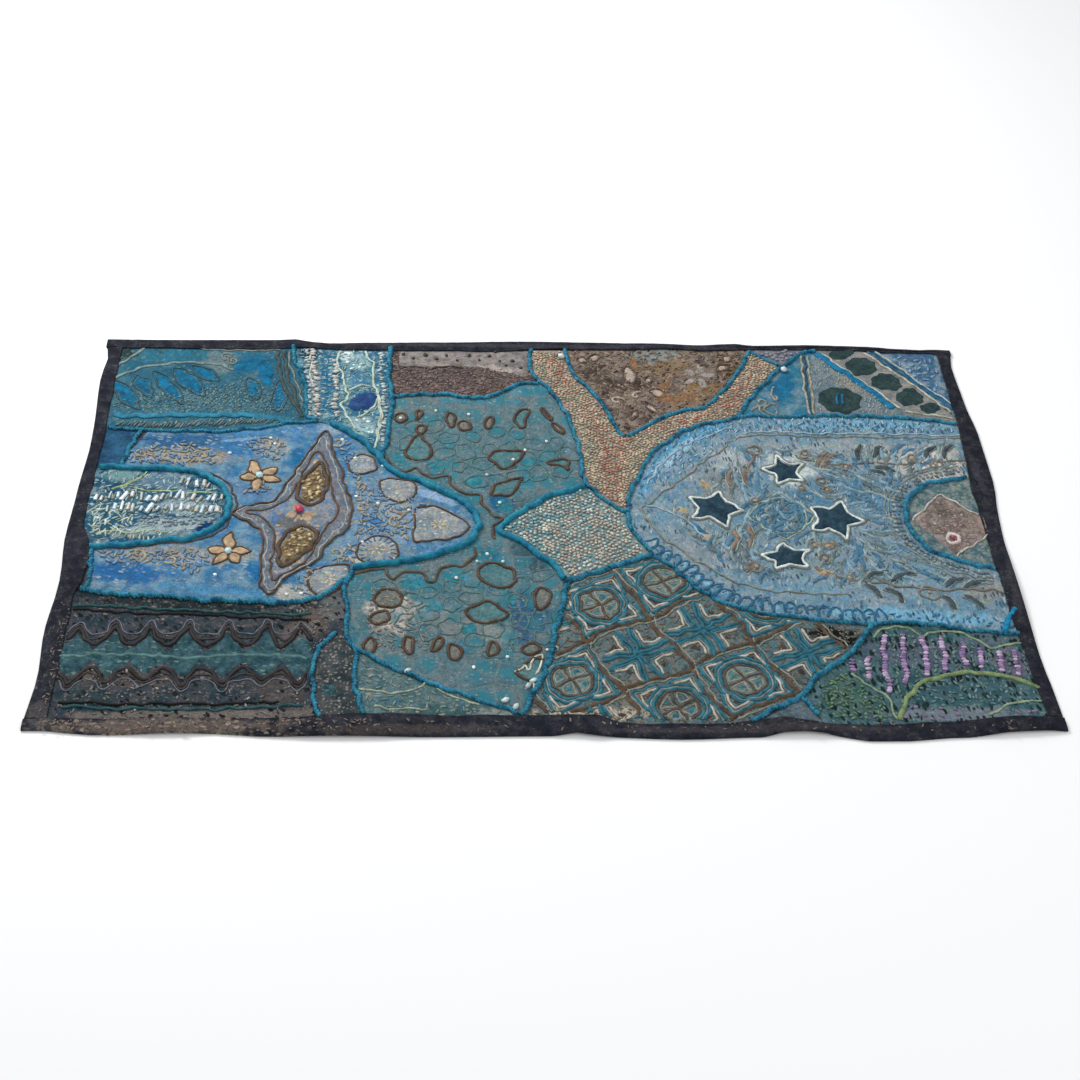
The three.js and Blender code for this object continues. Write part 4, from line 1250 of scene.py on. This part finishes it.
# ---------------- seed bead band
# Glass seed beads in slanting rows: terracotta down the middle, then pink, olive and sand.
# Each is sewn down singly, with a pearl at either upper end.
band_spots = places_in(cuts["seed_band"], 5.2, 28, 1, aspect=1.25, margin=6)
band_middles = [[(22, 440), (60, 330), (98, 240), (112, 150), (112, 50)], [(112, 150), (190, 222),
    (296, 264), (352, 312), (410, 412)]]
to_middle = np.min([np.linalg.norm(band_spots[:, None] - even_line(line, 10), axis=2).min(1)
    for line in band_middles], axis=0)
lot = chance.random(len(band_spots)) + 0.16 * np.sin(band_spots[:, 0] / 17) - 0.018 * to_middle
for bead_name, tint, spots in shared_out(band_spots, lot, (("sand_seeds", 0xB8AC92, 0.12),
        ("olive_seeds", 0x8C9486, 0.32), ("pink_seeds", 0xBC9A86, 0.62),
        ("terracotta_seeds", 0xAC7862, 9))):
    sewn(bead_name, spots, (6.6, 4.6, 2.6), tint, turn=28, sway=30, vary=0.35, over=0.5)
sewn("band_pearls", [(50, 418), (446, 389)], (12, 14, 8), 0xD6E2E6, over=2)

# ---------------- brocade scrap
# A large flower of fawn petals and a small rosette on worn olive and ochre brocade. The
# petals are padded satin stitch, the pale ones edged in brown thread.
BROCADE_LIGHTS = [(168, 370, 100, 48, 17), (214, 318, -30, 30, 17), (199, 352, 80, 26, 10),
    (202, 280, -62, 30, 9), (168, 258, 70, 28, 8), (150, 340, -60, 26, 8), (110, 420, 0, 16, 16),
    (86, 412, 60, 14, 12), (349, 420, 50, 20, 12), (338, 392, 40, 26, 10), (196, 246, 80, 22, 7)]
for petal_name, tints, places in (("light_petals", [0xB4A498, 0x9C8E82], BROCADE_LIGHTS), ("dark_petals",
        [0x362E2A, 0x50463E], [(110, 388, 40, 50, 16), (132, 352, 118, 52, 13), (180, 340, 80, 40, 16),
        (90, 370, 105, 40, 12), (212, 412, 90, 16, 9), (196, 268, 60, 18, 8), (154, 228, 100, 22, 14),
        (126, 322, 120, 36, 9), (340, 350, 60, 40, 10)]), ("brown_petals", [0x8C684A, 0x705844],
        [(230, 308, 12, 56, 22), (262, 306, 20, 60, 20), (178, 402, 100, 50, 16), (226, 340, 40, 50, 18)])):
    applique(petal_name, set_out(LEAF, places), cloth("brocade_" + petal_name, tints, 0.008, worked=0.5),
        rise=0.1, spacing=4)
outlined("petal_edges", set_out(LEAF, BROCADE_LIGHTS, 5), 2.6, 0x54463E)
stitched("brocade_curls", [curl(143, 298, 13, 0.2, 0.9), curl(178, 312, 11, 1, 0.8),
    curl(300, 392, 9, 2, 0.6)], 5.5, 0xA49688, flat=0.6)
applique("brocade_rosette", [turned(ROUND, *off(292, 366, way, 18), way, 25, 16)
    for way in (20, 75, 140, 215, 280)], cloth("rosette_grey", [0x828280, 0xA49A92], 0.006), rise=0.1,
    spacing=4)
stitches("brocade_lights", places_in(cuts["brocade_scrap"], 11, 35, 7, margin=8), (9, 3.4), 0x847466, 40,
    over=0.1)

# ---------------- corner scraps
# Beige loops on blue, stippled grey-blue with a dark rosette, and a run of dark rosettes
# between a wide ribbon and a double line.
stitched("loop_lines", [curl(414, 276, 17, 1.2, 1), curl(394, 300, 12, 3.6, 1), curl(420, 312, 9, 4.4, 0.9),
    [(376, 274), (388, 290), (396, 268), (408, 258)], [(420, 300), (418, 326), (428, 344)]], 4.4, 0x868A82)
stitched("pale_verticals", [[(498, 432), (493, 380), (489, 320), (486, 268)],
    [(485, 432), (481, 380), (477, 268)]], 4.4, 0x949284)
stitched("dark_verticals", [[(492, 430), (487, 380), (483, 320), (481, 268)]], 3, 0x2E4C5A)
sewn("mauve_knots", places_in(cuts["mauve_corner_scrap"], 10, 20, 3, margin=6), (9, 8, 3), 0x82808C)
dark_green = cloth("dark_green_cotton", [0x24383A, 0x344848], 0.02, crease_shade=0.3)
ROSETTE = even_line(flower(8, 0.03), 0.12, True)
applique("lone_rosette", [turned(ROSETTE, 536, 307, 10, 82, 76)], dark_green, rise=0.6, puff=1.4)
stitched("rosette_heart", [[(532, 292), (534, 322)], [(539, 292), (541, 320)]], 5, 0x1C5E80, over=2.6)
ROSETTES = [(562, 440, 60, 34), (592, 402, 59, 55), (630, 358, 57, 54), (664, 315, 54, 53),
    (698, 288, 42, 26)]
applique("rosette_run", [turned(ROSETTE, x, y, 20, *size) for x, y, *size in ROSETTES], dark_green,
    rise=0.5, puff=1.3)
stitched("wide_ribbon", [[(512, 440), (548, 396), (590, 344), (632, 286)]], 14, 0x16668A, flat=0.22,
    chain=0.04)
stitched("ribbon_edges", [[(524, 440), (560, 394), (602, 342), (644, 284)], [(602, 440), (640, 396),
    (684, 340), (732, 278)], [(622, 444), (656, 402), (700, 344), (738, 296)],
    [(648, 276), (690, 270), (732, 262)]], 4.4, 0xACACA0)
stitched("double_line", [[(608, 446), (642, 404), (688, 347), (736, 286)], [(616, 446), (650, 404),
    (696, 347), (738, 293)]], 5, 0x2C6280, flat=0.5)
stitches("stipple_stitches", clear_of(places_in(cuts["stipple_scrap"], 9, 75, 2.6, margin=8), [(536, 307)],
    44), (8, 2.4), 0x949E9A, 75, 30)
stitches("grey_stitching", clear_of(places_in(cuts["rosette_scrap"], 9, 10, 3.5, margin=8), ROSETTES, 35),
    (9, 3), 0x968C7E)
stitches("corner_stitches", places_in(cuts["mottled_corner_scrap"], 14, 20, 5, margin=14), (13, 5),
    0x7696B2, 40, 50)

# ---------------- arch scrap
# Grey-blue silk worked all over: a scalloped border inside the cord, a thin arch line, four
# navy stars edged in white cord, leafy sprigs, curls and small gold flowers.
star_places = [(284, 22, -18, 87, 78), (414, 116, 10, 66, 64), (481, -2, -20, 86, 86),
    (391, -91, 8, 76, 54)]
applique("navy_stars", [dense_outline(star, 4) for star in set_out(STAR, star_places)], cloth("navy_satin",
    [0x1B3240, 0x2E4957], 0.015, rough=0.6), rise=0.8, puff=1.8, spacing=4.5)
for star_name, grown, width, tint in (("star_cords", 9, 4.4, 0xC8D2D0),
        ("star_shadows", 20, 3.4, 0x70766A)):
    outlined(star_name, [dense_outline(star, 4) for star in set_out(STAR, star_places, grown)], width, tint,
        over=1.4 if grown == 9 else 0.5)
TAUPE, RUST = 0x706C62, 0x827061
arch_line = cornered([(738, 206), (540, 208), (390, 206), (342, 198), (250, 106), (164, 24)]).tolist() + [
    (166, 8), (178, -22), (206, -64), (250, -108), (300, -146), (350, -166), (420, -174), (480, -176)]
stitched("arch_line", [arch_line], 3, 0x7C7C70)
stitched("arch_line_outer", [[(340, 236), (300, 208), (250, 178), (206, 128), (176, 84)], [(738, 214),
    (540, 217), (400, 214), (352, 208)], [(172, 30), (212, 14), (240, -14), (262, -52)]], 3.4, 0x92AEBC)
applique("arch_blades", set_out(LEAF, ((252, -24, -46, 56, 13), (264, -66, -64, 40, 12),
    (246, 42, 52, 40, 10), (524, 70, 74, 92, 11), (508, -80, 68, 70, 13), (536, -84, -60, 40, 8),
    (566, 62, 88, 60, 8), (492, 118, 62, 40, 9), (450, 62, 20, 44, 8), (560, -26, 60, 50, 8))),
    cloth("blade_blue", [0x34627C, 0x4E7C94], 0.01), rise=0.1, puff=0.8, spacing=4)
border = beside(R["arch_lower"], 17)
border = even_line(border[(border[:, 0] > 172) & (border[:, 0] < 520)], 17.5)
ways = np.degrees(np.arctan2(*np.gradient(border, axis=0)[:, ::-1].T)) + 90
stitched("scallop_lines", [turned([(-0.5, -0.5), (0.2, -0.46), (0.5, 0), (0.2, 0.46), (-0.5, 0.5)], x, y,
    way, 22, 16) for (x, y), way in zip(border, ways)], 3.2, 0x2E6280)
applique("scallop_hearts", [turned(DROP, x, y, way + 180, 18, 12) for (x, y), way in zip(border, ways)],
    0x76A0B6, rise=0.3, puff=1.2, spacing=6)
BORDER = R["arch_upper"][2:] + [(733, 214), (380, 210), (320, 170), (210, 76)]
for dash_name, pitch, turn, jitter, tint in (("border_dashes", 15, 80, 4, 0x427492),
        ("border_lights", 14, 70, 5, 0x90ACBA)):
    stitches(dash_name, places_in(BORDER, pitch, turn, jitter, margin=7), (11, 3.2), tint, turn, 35,
        over=0.1)
stitches("lower_dashes", places_in(R["arch_lower"][3:] + [(725, -222), (500, -206), (300, -170),
    (190, -60)], 12, 80, 4, margin=5), (10, 3.4), 0x3E708E, 60, 60, over=0.1)
# strokes: bold leaves worked as two or three thick curved stitches
STROKES = [(545, 145, 555, 186), (575, 150, 592, 186), (660, 150, 688, 186), (690, 150, 716, 190),
    (478, 120, 512, 168), (470, 130, 500, 172), (568, 128, 604, 118), (556, 122, 584, 108),
    (510, -140, 552, -120), (550, -145, 592, -124), (508, -150, 526, -186), (538, -160, 560, -196),
    (625, -175, 642, -206), (662, -175, 682, -206), (636, -156, 672, -134), (668, -160, 702, -140),
    (350, 80, 344, 130), (318, 70, 326, 124), (312, -20, 304, -78), (334, -10, 330, -70),
    (336, -96, 318, -128)]
stroke_lines = [[(a, b), ((a + c) / 2 - 0.12 * (d - b), (b + d) / 2 + 0.12 * (c - a)), (c, d)]
    for a, b, c, d in STROKES]
for stroke_name, lines, width, tint in (("leaf_strokes", stroke_lines[:4] + stroke_lines[6:16], 10,
        0x3E4A50), ("rust_strokes", stroke_lines[4:6] + stroke_lines[16:], 9, 0x786A5F)):
    stitched(stroke_name, lines, width, tint, flat=0.4, taper=0.8)
for stroke_name, away, tint in (("stroke_lights", 5, 0x8E988E), ("stroke_shades", -5, 0x606E6C)):
    stitched(stroke_name, [beside(line, away) for line in stroke_lines], 2.6, tint)
stitched("sprig_spines", [[(438, 150), (470, 140), (520, 136), (580, 140), (650, 140), (730, 150)],
    [(505, -145), (560, -156), (620, -164), (680, -160), (735, -172)],
    [(440, -118), (468, -136), (500, -146)]], 3.6, TAUPE)
# sweeping lines in blue, sage and fawn fill the field between the stars
field = places_in([(200, 20), (300, 126), (366, 182), (720, 196), (720, 120), (640, 98), (590, 40),
    (588, -40), (640, -110), (720, -140), (460, -166), (340, -146), (240, -76)], 21, 25, 8, margin=12)
field = clear_of(field, star_places, 50)
for k, (tint, width) in enumerate(((0x4C728A, 8), (0x849494, 6), (0x687674, 7), (0x7894A2, 7))):
    stitched("sweeps_%d" % k, [turned([(-0.5, -0.24), (-0.2, 0.02), (0.15, 0.1), (0.5, 0)], x, y,
        80 + 60 * math.sin(x / 70 + y / 90) + 14 * k, 44, 26) for x, y in field[k::4]], width, tint, over=0,
        flat=0.5, taper=0.8)
stitches("field_stitches", np.vstack([field + (9, -7), field + (-3, 9)]), (12, 3), 0x869AA2, 78, 50,
    over=0.1)
stitches("field_shades", field + (4, 3), (12, 3), 0x5C7480, 78, 50, over=0.1)
ARC, BOW = [(-0.5, 0), (-0.2, 0.34), (0.2, 0.34), (0.5, 0)], [(-0.5, 0), (0, 0.12), (0.5, 0)]
stitched("centre_arcs", [turned(ARC, 394, 6, way, 104, 96) for way in (0, 90, 180, 270)]
    + [turned(BOW, 394, 6, way, 84, 60) for way in (20, 65, 110, 155)], 4, 0x467084, over=0.4)
stitched("centre_arc_lights", [turned(ARC, 394, 6, way, 114, 108) for way in (0, 90, 180, 270)], 3,
    0x969E8C, over=0.4)
RINGS = [(366, 166, 24), (454, 158, 18), (474, 92, 18), (478, 70, 14), (436, 72, 13), (438, -60, 14),
    (452, -95, 18), (462, -64, 15), (486, -138, 14), (606, -170, 30), (640, 152, 20), (676, 136, 18),
    (336, -112, 24), (356, 40, 15), (520, 128, 16)]
outlined("small_rings", [turned(ROUND, x, y, 0, d, d) for x, y, d in RINGS], 3.8, 0x7A7166)
sewn("ring_hearts", [(x, y) for x, y, d in RINGS], (9, 8, 3), 0x988E7C, over=0.8)
stitched("rust_stems", [[(366, 152), (352, 124), (350, 92)], [(430, -110), (450, -130), (462, -124)]], 5,
    RUST, flat=0.5)
applique("gold_flowers", [turned(flower(5, 0.12), x, y, 20 * x, 25, 22) for x, y in ((276, 80), (232, 18),
    (266, -48), (462, -62), (444, -124), (456, -132))], 0x9C8D71, rise=0.6, puff=1.2, spacing=4)
for away, tint in ((-13, 0x647274), (-20, 0x8C948E)):
    sewn("arch_beads_%d" % -away, beside(R["half_round_right"], away)[1:-1], (8, 6, 3), tint, sway=90,
        vary=0.4, over=0.6)
stitched("arch_bead_lines", [beside(R["half_round_right"], away) for away in (-27, -34)], 3, 0x788688)
stitched("blue_corner_cord", [[(706, -250), (722, -228), (736, -204)]], 9, 0x14769E, flat=0.5)

# ---------------- right half round
# A brown diamond outlined in cream on green-grey cotton, with one small red eye. It is worn
# cloth sewn on, and few of its beads are left.
applique("brown_diamond", [dense_outline([(612, 0), (668, 60), (722, 12), (735, 4), (735, -30), (720, -48),
    (668, -86)], 8)], cloth("worn_brown_cotton", [0x908581, 0x6E635F], 0.014, 0.5, 0.15,
    washes=[(668, 14, 40, 24, 0x545450, 0.7), (722, -4, 40, 70, 0x8C7C72, 0.8)],
    flecks=[specks(0x988A80, 8, fill=0.34, share=0.3)]), rise=0.9, puff=0.8)
stitched("diamond_edges", [cornered([(612, 0), (668, 62), (724, 12)]), [(728, -36), (712, -52), (690, -66),
    (668, -88)]], 3.4, 0xB8B2AA, over=1.4)
stitches("diamond_worn", places_in([(618, 0), (668, 54), (720, 4), (716, -36), (668, -82)], 9, 45, 3),
    (8, 4), 0x807066, over=1)
outlined("red_eye_ring", [turned(ROUND, 668, -46, 0, 20, 20)], 6, 0xCCBEB8, over=2.4)
sewn("red_eye", [(668, -46)], (9, 9, 6), 0x96384A, over=2.6)
sewn("diamond_sparks", places_in([(622, 0), (668, 50), (722, 4), (720, -40), (668, -80)], 19, 45, 7),
    (6, 5, 2.2), 0xA09286, vary=0.6, over=1.4)

# ---------------- diamond scrap
# Rows of pale beads over the whole diamond, each sewn down singly on the teal cloth, which
# shows between them.
diamond_spots = places_in(cuts["diamond_scrap"], 6.4, 33, 1, aspect=1.15, margin=7)
lot = chance.random(len(diamond_spots)) - 0.0022 * (diamond_spots[:, 0] - diamond_spots[:, 1])
for bead_name, tint, spots in shared_out(diamond_spots, lot, (("fawn_beads", 0xBAAEA0, 0.38),
        ("pale_beads", 0xBAC8C2, 0.62), ("teal_beads", 0x6C99A4, 9))):
    sewn(bead_name, spots, (6.6, 5, 3.6), tint, turn=33, sway=25, vary=0.25)

# ---------------- dark scrap
# Worn black-brown cotton with a row of teal flames back to back, dark arches round them and
# thin mauve zigzags above and below.
flame_teal = cloth("flame_teal", [0x1E3E46, 0x3E5E66], 0.014,
    flecks=[specks(0x5C7472, 6, 2, fill=0.28, share=0.4)])
PEAKS = (-708, -655, -601, -545, -486, -428, -374)
VALLEYS = [(a + b) / 2 for a, b in zip(PEAKS, PEAKS[1:])]
upper_edge = [(-732, -300)]
lower_edge = [(-732, -320)]
for k, peak in enumerate(PEAKS):
    upper_edge += [(peak - 15, -284), (peak, -261 + 4 * (k % 2)), (peak + 15, -284)]
    lower_edge += [(peak - 15, -334), (peak, -356 + 5 * (k % 3)), (peak + 15, -334)]
    if k < len(VALLEYS):
        upper_edge.append((VALLEYS[k], -299))
        lower_edge.append((VALLEYS[k], -320))
flames = upper_edge + [(-356, -300), (-356, -320)] + lower_edge[::-1]
applique("teal_flames", [dense_outline(flames, 8)], flame_teal, rise=0.3, puff=1)
stitched("flame_spine", [[(-730, -310), (-640, -306), (-540, -312), (-440, -306), (-362, -312)]], 6,
    0x4A6C6C, flat=0.4, over=1)
for k, (gap, width, tint) in enumerate(((8, 6.6, 0x252426), (16, 3.6, 0x3A3433), (24, 2.6, 0x62646E))):
    stitched("flame_arches_%d" % k, [[(x, y + side * gap * (1 + 0.5 * (abs(y + 310) < 20)))
        for x, y in edge] for edge, side in ((upper_edge[1:], 1), (lower_edge[1:], -1))], width, tint,
        flat=0.4)
stitched("bottle_lines", [[(-724, -206), (-640, -208), (-560, -214), (-480, -218), (-400, -222),
    (-362, -222)], [(-712, -404), (-640, -412), (-560, -414), (-480, -412), (-400, -408), (-366, -408)]], 5,
    0x264C4E)
stitched("black_lines", [[(-724, -214), (-560, -223), (-400, -231), (-362, -232)], [(-712, -396),
    (-640, -402), (-560, -404), (-400, -398)]], 5, 0x18181A)
worn = np.vstack([places_in([(-400, -200), (-330, -190), (-318, -262), (-360, -300), (-400, -260)], 12, 30,
    5), places_in([(-720, -380), (-600, -372), (-420, -372), (-350, -330), (-345, -425), (-725, -428)], 16,
    20, 7), places_in([(-700, -335), (-560, -335), (-560, -385), (-680, -386)], 12, 20, 6),
    places_in([(-620, -426), (-340, -420), (-340, -436), (-720, -436)], 11, 20, 5)])
stitches("worn_specks", worn, (6, 3.2), 0x6E6B68, vary=0.6, over=0.1)
stitches("worn_lights", worn[::4] + (5, 3), (6, 3), 0x908C86, vary=0.6, over=0.1)

# ---------------- narrow and sliver scraps
# Worn dark cotton with a bit of teal cloth sewn on, and sage silk with a pale arc, short
# stitches and a few shell beads.
applique("narrow_teal_bit", [[(-342, -364), (-318, -366), (-316, -388), (-336, -392)]], flame_teal,
    rise=0.3, puff=0.6)
stitched("sliver_arc", [[(-282, -372), (-250, -378), (-216, -378), (-196, -368), (-188, -358)],
    [(-262, -414), (-230, -415), (-190, -414)], [(-170, -372), (-140, -392), (-110, -402)]], 3.4, 0x96A088)
stitches("sliver_stitches", places_in(cuts["sliver_scrap"], 14, 30, 5, margin=7), (10, 3), 0x78847C, 20)
sewn("white_shells", [(-66, -398), (-54, -408), (-34, -366), (-28, -356), (-212, -340)], (15, 9, 4), PEARL,
    "bead", 30, 40, over=1.6)

# ---------------- tile scrap
# Turned tiles: ringed medallions and crosses in doubled teal, brown between the tiles, and
# white chevrons with brown corners, all in couched thread and satin stitch.
TILE_A, TILE_B = np.array([103, 53]), np.array([53, -103])
TILE_START = np.array([135, -303])
MEDALLIONS = [(-1, 0), (0, -1), (1, -1), (2, 0), (0, 1), (1, 1)]
CROSSES = [(0, 0), (1, 0), (2, 1), (-1, 1), (-1, -1), (2, -1)]


def at_tile(i, j):
    return TILE_START + i * TILE_A + j * TILE_B


tiled = {"between": [], "teal": [], "beige": [], "brown": [], "white": []}
brown_corners, teal_corners = [], []
for x, y in (at_tile(*place) for place in MEDALLIONS):
    for size, tone in ((88, "teal"), (80, "beige"), (73, "teal"), (62, "brown")):
        tiled[tone].append(ringed(turned(ROUND, x, y, 0, size, size)))
    for way in (2, 92, 182, 272):
        tiled["brown"].append(turned([(0, 0), (15, 1.5), (30, 0)], x, y, way + 23))
        tiled["beige"].append(turned([(6, 0), (23, -13), (27, 0), (23, 13), (6, 0)], x, y, way + 68))
        teal_corners.append(turned([(10, 0), (21, -9), (24, 0), (21, 9)], x, y, way + 68))
corner_places = [(at_tile(*place), 60, 39) for place in MEDALLIONS]
corner_places += [(at_tile(*place), 26, 47) for place in CROSSES]
for (x, y), tip, foot in corner_places:
    out = 1 if tip > foot else -1
    for way in (68, 158, 248, 338):
        for tone, shift in (("white", 0), ("beige", 6), ("teal", 10), ("teal", 18)):
            reach, wide = tip + out * shift * 1.3, 21 + 0.7 * shift
            if tone != "teal" or shift < 18 or out < 0:
                tiled[tone].append(cornered(turned([(foot, -wide), (reach, 0), (foot, wide)], x, y, way)))
        brown_corners.append(turned([(foot + out * 3, -13), (tip - out * 6, 0), (foot + out * 3, 13)], x, y,
            way))
for k in range(-2, 4):
    for side, other in ((TILE_A, TILE_B), (TILE_B, TILE_A)):
        for away in (-3.5, 3.5):
            run = TILE_START + (k + 0.5) * side + np.linspace(-2.5, 3.5, 50)[:, None] * other
            normal = side / np.linalg.norm(side)
            bend = away + 5 * np.sin(np.linspace(0, 30, 50) + k)
            tiled["between" if away < 0 else "beige"].append(run + bend[:, None] * normal)
tile_rim = dense_outline(cuts["tile_scrap"], 8)


def kept_inside(lines, rim, margin):
    """The stretches of lines that lie well inside a rim."""
    kept = []
    for line in lines:
        run = cornered(line)
        ok = inside(run, rim)
        ok[ok] = from_outline(run[ok], rim) > margin if ok.any() else False
        breaks = np.flatnonzero(np.diff(np.concatenate([[0], ok.astype(int), [0]])))
        kept += [run[a:b] for a, b in zip(breaks[::2], breaks[1::2]) if b - a > 4]
    return kept


def well_inside(shapes):
    return [shape for shape in shapes if inside(shape, tile_rim).all()]


applique("tile_hearts", well_inside(set_out(ROUND, [(*at_tile(*place), 0, 66, 66)
    for place in MEDALLIONS])), cloth("tile_heart_silk", [0x587A7E, 0x788076], 0.012), rise=0.1, puff=0.5)
applique("tile_teal_corners", well_inside(teal_corners), 0x2C6676, rise=0.3, puff=0.8, soft=3, spacing=4)
for tone, width, tint, over in (("between", 8, 0x524437, -1.2), ("teal", 5.6, 0x2E6676, 0.4),
        ("beige", 2.8, 0x86877C, 0.5), ("brown", 3.8, 0x544B42, 0.6), ("white", 3.8, 0xB2ACA0, 0.9)):
    stitched("tile_%s_lines" % tone, kept_inside(tiled[tone], tile_rim, 7), width, tint, over)
applique("tile_corners", well_inside(brown_corners), 0x3E3631, rise=0.3, puff=0.6, soft=3)
stitches("tile_stitches", places_in(tile_rim, 10, 30, 4), (9, 3), 0x625E54, over=0)

# ---------------- green scrap
# Slanting bars of lilac sequins hang below a scalloped line of pale chain stitch, over
# dark green silk crossed by beaded arcs.
BARS = [(516, -264, -382), (546, -262, -360), (578, -266, -344), (608, -266, -336), (636, -272, -326),
    (662, -288, -330), (690, -296, -336), (716, -290, -340), (460, -316, -334), (484, -308, -346)]
bar_spots = np.array([(x - 0.1 * (top - y), y) for x, top, low in BARS for y in np.arange(top, low, -5.4)])
lot = chance.random(len(bar_spots))
for bar_name, tint, spots in shared_out(bar_spots, lot, (("lilac_bars", 0x9678A2, 0.33),
        ("violet_bars", 0x7C6490, 0.67), ("pink_bars", 0xB29EB8, 9))):
    sewn(bar_name, spots, (10, 6.6, 1.6), tint, "sequin", 0, 10, vary=0.2, over=0.7)
stitches("green_bars", [(x + 15 - 0.1 * (top - y), y - 4) for x, top, low in BARS[:8]
    for y in np.arange(top, low, -9)], (8, 4.4), 0x607A74, 80, 40, vary=0.6)
stitched("green_scallops", [[(500, -262), (512, -250), (540, -243), (562, -248), (578, -264), (590, -256),
    (620, -252), (650, -262), (680, -286), (700, -280), (734, -274)], [(452, -342), (480, -366),
    (500, -390), (510, -428)], [(648, -424), (672, -408), (696, -398), (734, -392)]], 3.8, 0x8A9C7C)
stitched("green_arc", [[(516, -430), (520, -410), (532, -388), (556, -362), (590, -346), (630, -338),
    (670, -340), (704, -352), (738, -370)]], 7.5, 0x788A60, flat=0.7)
stitches("green_seeds", places_in([(404, -352), (446, -336), (500, -400), (506, -430), (404, -430)], 9, 20,
    3), (7, 4.4), 0x627C60)
sewn("lilac_scatter", np.vstack([places_in([(520, -400), (600, -396), (620, -430), (520, -430)], 14, 10, 5),
    places_in([(650, -412), (730, -400), (734, -424), (650, -426)], 16, 10, 5)]), (8, 5, 1.4), 0x7E6A88,
    "sequin", 0, 60, vary=0.4)
stitches("green_glints", places_in([(530, -360), (640, -345), (720, -365), (720, -400), (560, -410)], 14,
    30, 5), (9, 4), 0x688488)

# ---------------- binding
# A strip of charcoal cotton folded over each raw edge and sewn through beside its inner
# fold. Beige lint clings to it, thickest at the near left.
# The two faint grey washes along the right edge are painted highlights along its fold; the brownish ones at
# the near left are wear.
binding_cotton = cloth("charcoal_cotton", [0x20232C, 0x32333A], 0.02, 0.45, 0.2,
    washes=[(-560, -446, 420, 34, 0x70665E, 0.7), (-736, -430, 50, 70, 0x545254, 0.7),
    (-200, -452, 300, 20, 2, 0x504A48, 0.6), (300, -450, 500, 16, 1, 0x4A4648, 0.5),
    (742, 120, 16, 160, 4, 0x545258, 0.3), (744, -150, 16, 200, -3, 0x4E4C52, 0.3),
    (0, 448, 900, 12, 0x3E3E46, 0.6)], flecks=[specks(0x4A484C, 4.5, 1.6, fill=0.32, share=0.5,
    spread=(0.02, 0.45)), specks(0x86786E, 6, 1.8, fill=0.34, share=0.6, where=(-560, -448, 560, 60)),
    specks(0x5A585C, 6, 2, 1.5, fill=0.26, share=0.45, where=(-742, -330, 60, 300))], rough=0.95, crease_shade=0.7)
# across the strip, from its outer fold to its inner one: share of the width, mm inwards
# from the near side, height over the sheet's underside
FOLD_SECTION = [(1, 0, 3.7), (1, -0.7, 4.4), (1, -2.6, 4.6), (1, -4.6, 3.7), (1, -7, 4.6), (0.6, 0, 4.6),
    (0.3, 0, 4.5), (0, 3, 4.2), (0, 0.7, 3.3), (0, 0, 2), (0, 0.8, 0.5), (0, 3, 0), (0.5, 0, 0), (1, -1, 0),
    (1, -1, 0.8), (0.5, 0, 0.8), (0, 3, 0.9), (0, 1.2, 2), (0, 3, 3.3), (0.3, 0, 3.6), (0.6, 0, 3.7),
    (1, -7, 3.7), (1, -4.6, 3), (1, -2.6, 3.6), (1, -0.7, 3.5)]


def binding_strip(name, strip, along, outer_is_high):
    """A folded strip swept along one side, between the edges its solid has there."""
    stations, low, high = strip
    run = np.arange(stations[0], stations[-1] + 0.1, (stations[-1] - stations[0]) / 220)
    outer = np.interp(run, stations, high if outer_is_high else low)
    inner = np.interp(run, stations, low if outer_is_high else high)
    corners = []
    for place, out, into in zip(run, outer, inner):
        width = abs(into - out) + 2.5 * noise.noise(Vector((place / 34, 0.5, 0.5)))
        way = 1 if into > out else -1
        for share, more, height in FOLD_SECTION:
            across = out + way * (width * share + more)
            x, y = (place, across) if along == 0 else (across, place)
            ripple = 0.5 * noise.noise(Vector((x / 13, y / 13, 2))) if height > 3 else 0
            corners.append((x, y, float(net_value(lift, x, y)) + height + ripple))
    rings = np.array(corners).reshape(len(run), len(FOLD_SECTION), 3)
    mesh = mesh_of(name, *swept(rings))
    form = bmesh.new()
    form.from_mesh(mesh)
    bmesh.ops.recalc_face_normals(form, faces=form.faces[:])
    form.to_mesh(mesh)
    form.free()
    piece = shown(name, mesh, binding_cotton)
    width = float(np.mean(np.abs(outer - inner)))
    return piece


for side, strip, along, outer_is_high in (("top", seam_top, 0, True), ("bottom", seam_bottom, 0, False),
        ("left", seam_left, 1, False), ("right", seam_right, 1, True)):
    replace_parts(binding_strip("folded_" + side, strip, along, outer_is_high), "binding_" + side)

# Lint and fluff caught in the binding's cotton, thickest at the near left corner.
lint = np.vstack([np.stack([chance.uniform(*across, count), chance.uniform(*up, count)], 1)
    for across, up, count in (((-740, -250), (-456, -434), 150), ((-250, 740), (-456, -436), 80),
    ((-742, -728), (-420, -200), 60))])
stitches("binding_lint", lint, (5, 2), 0x766C64, vary=0.7, over=2.4)
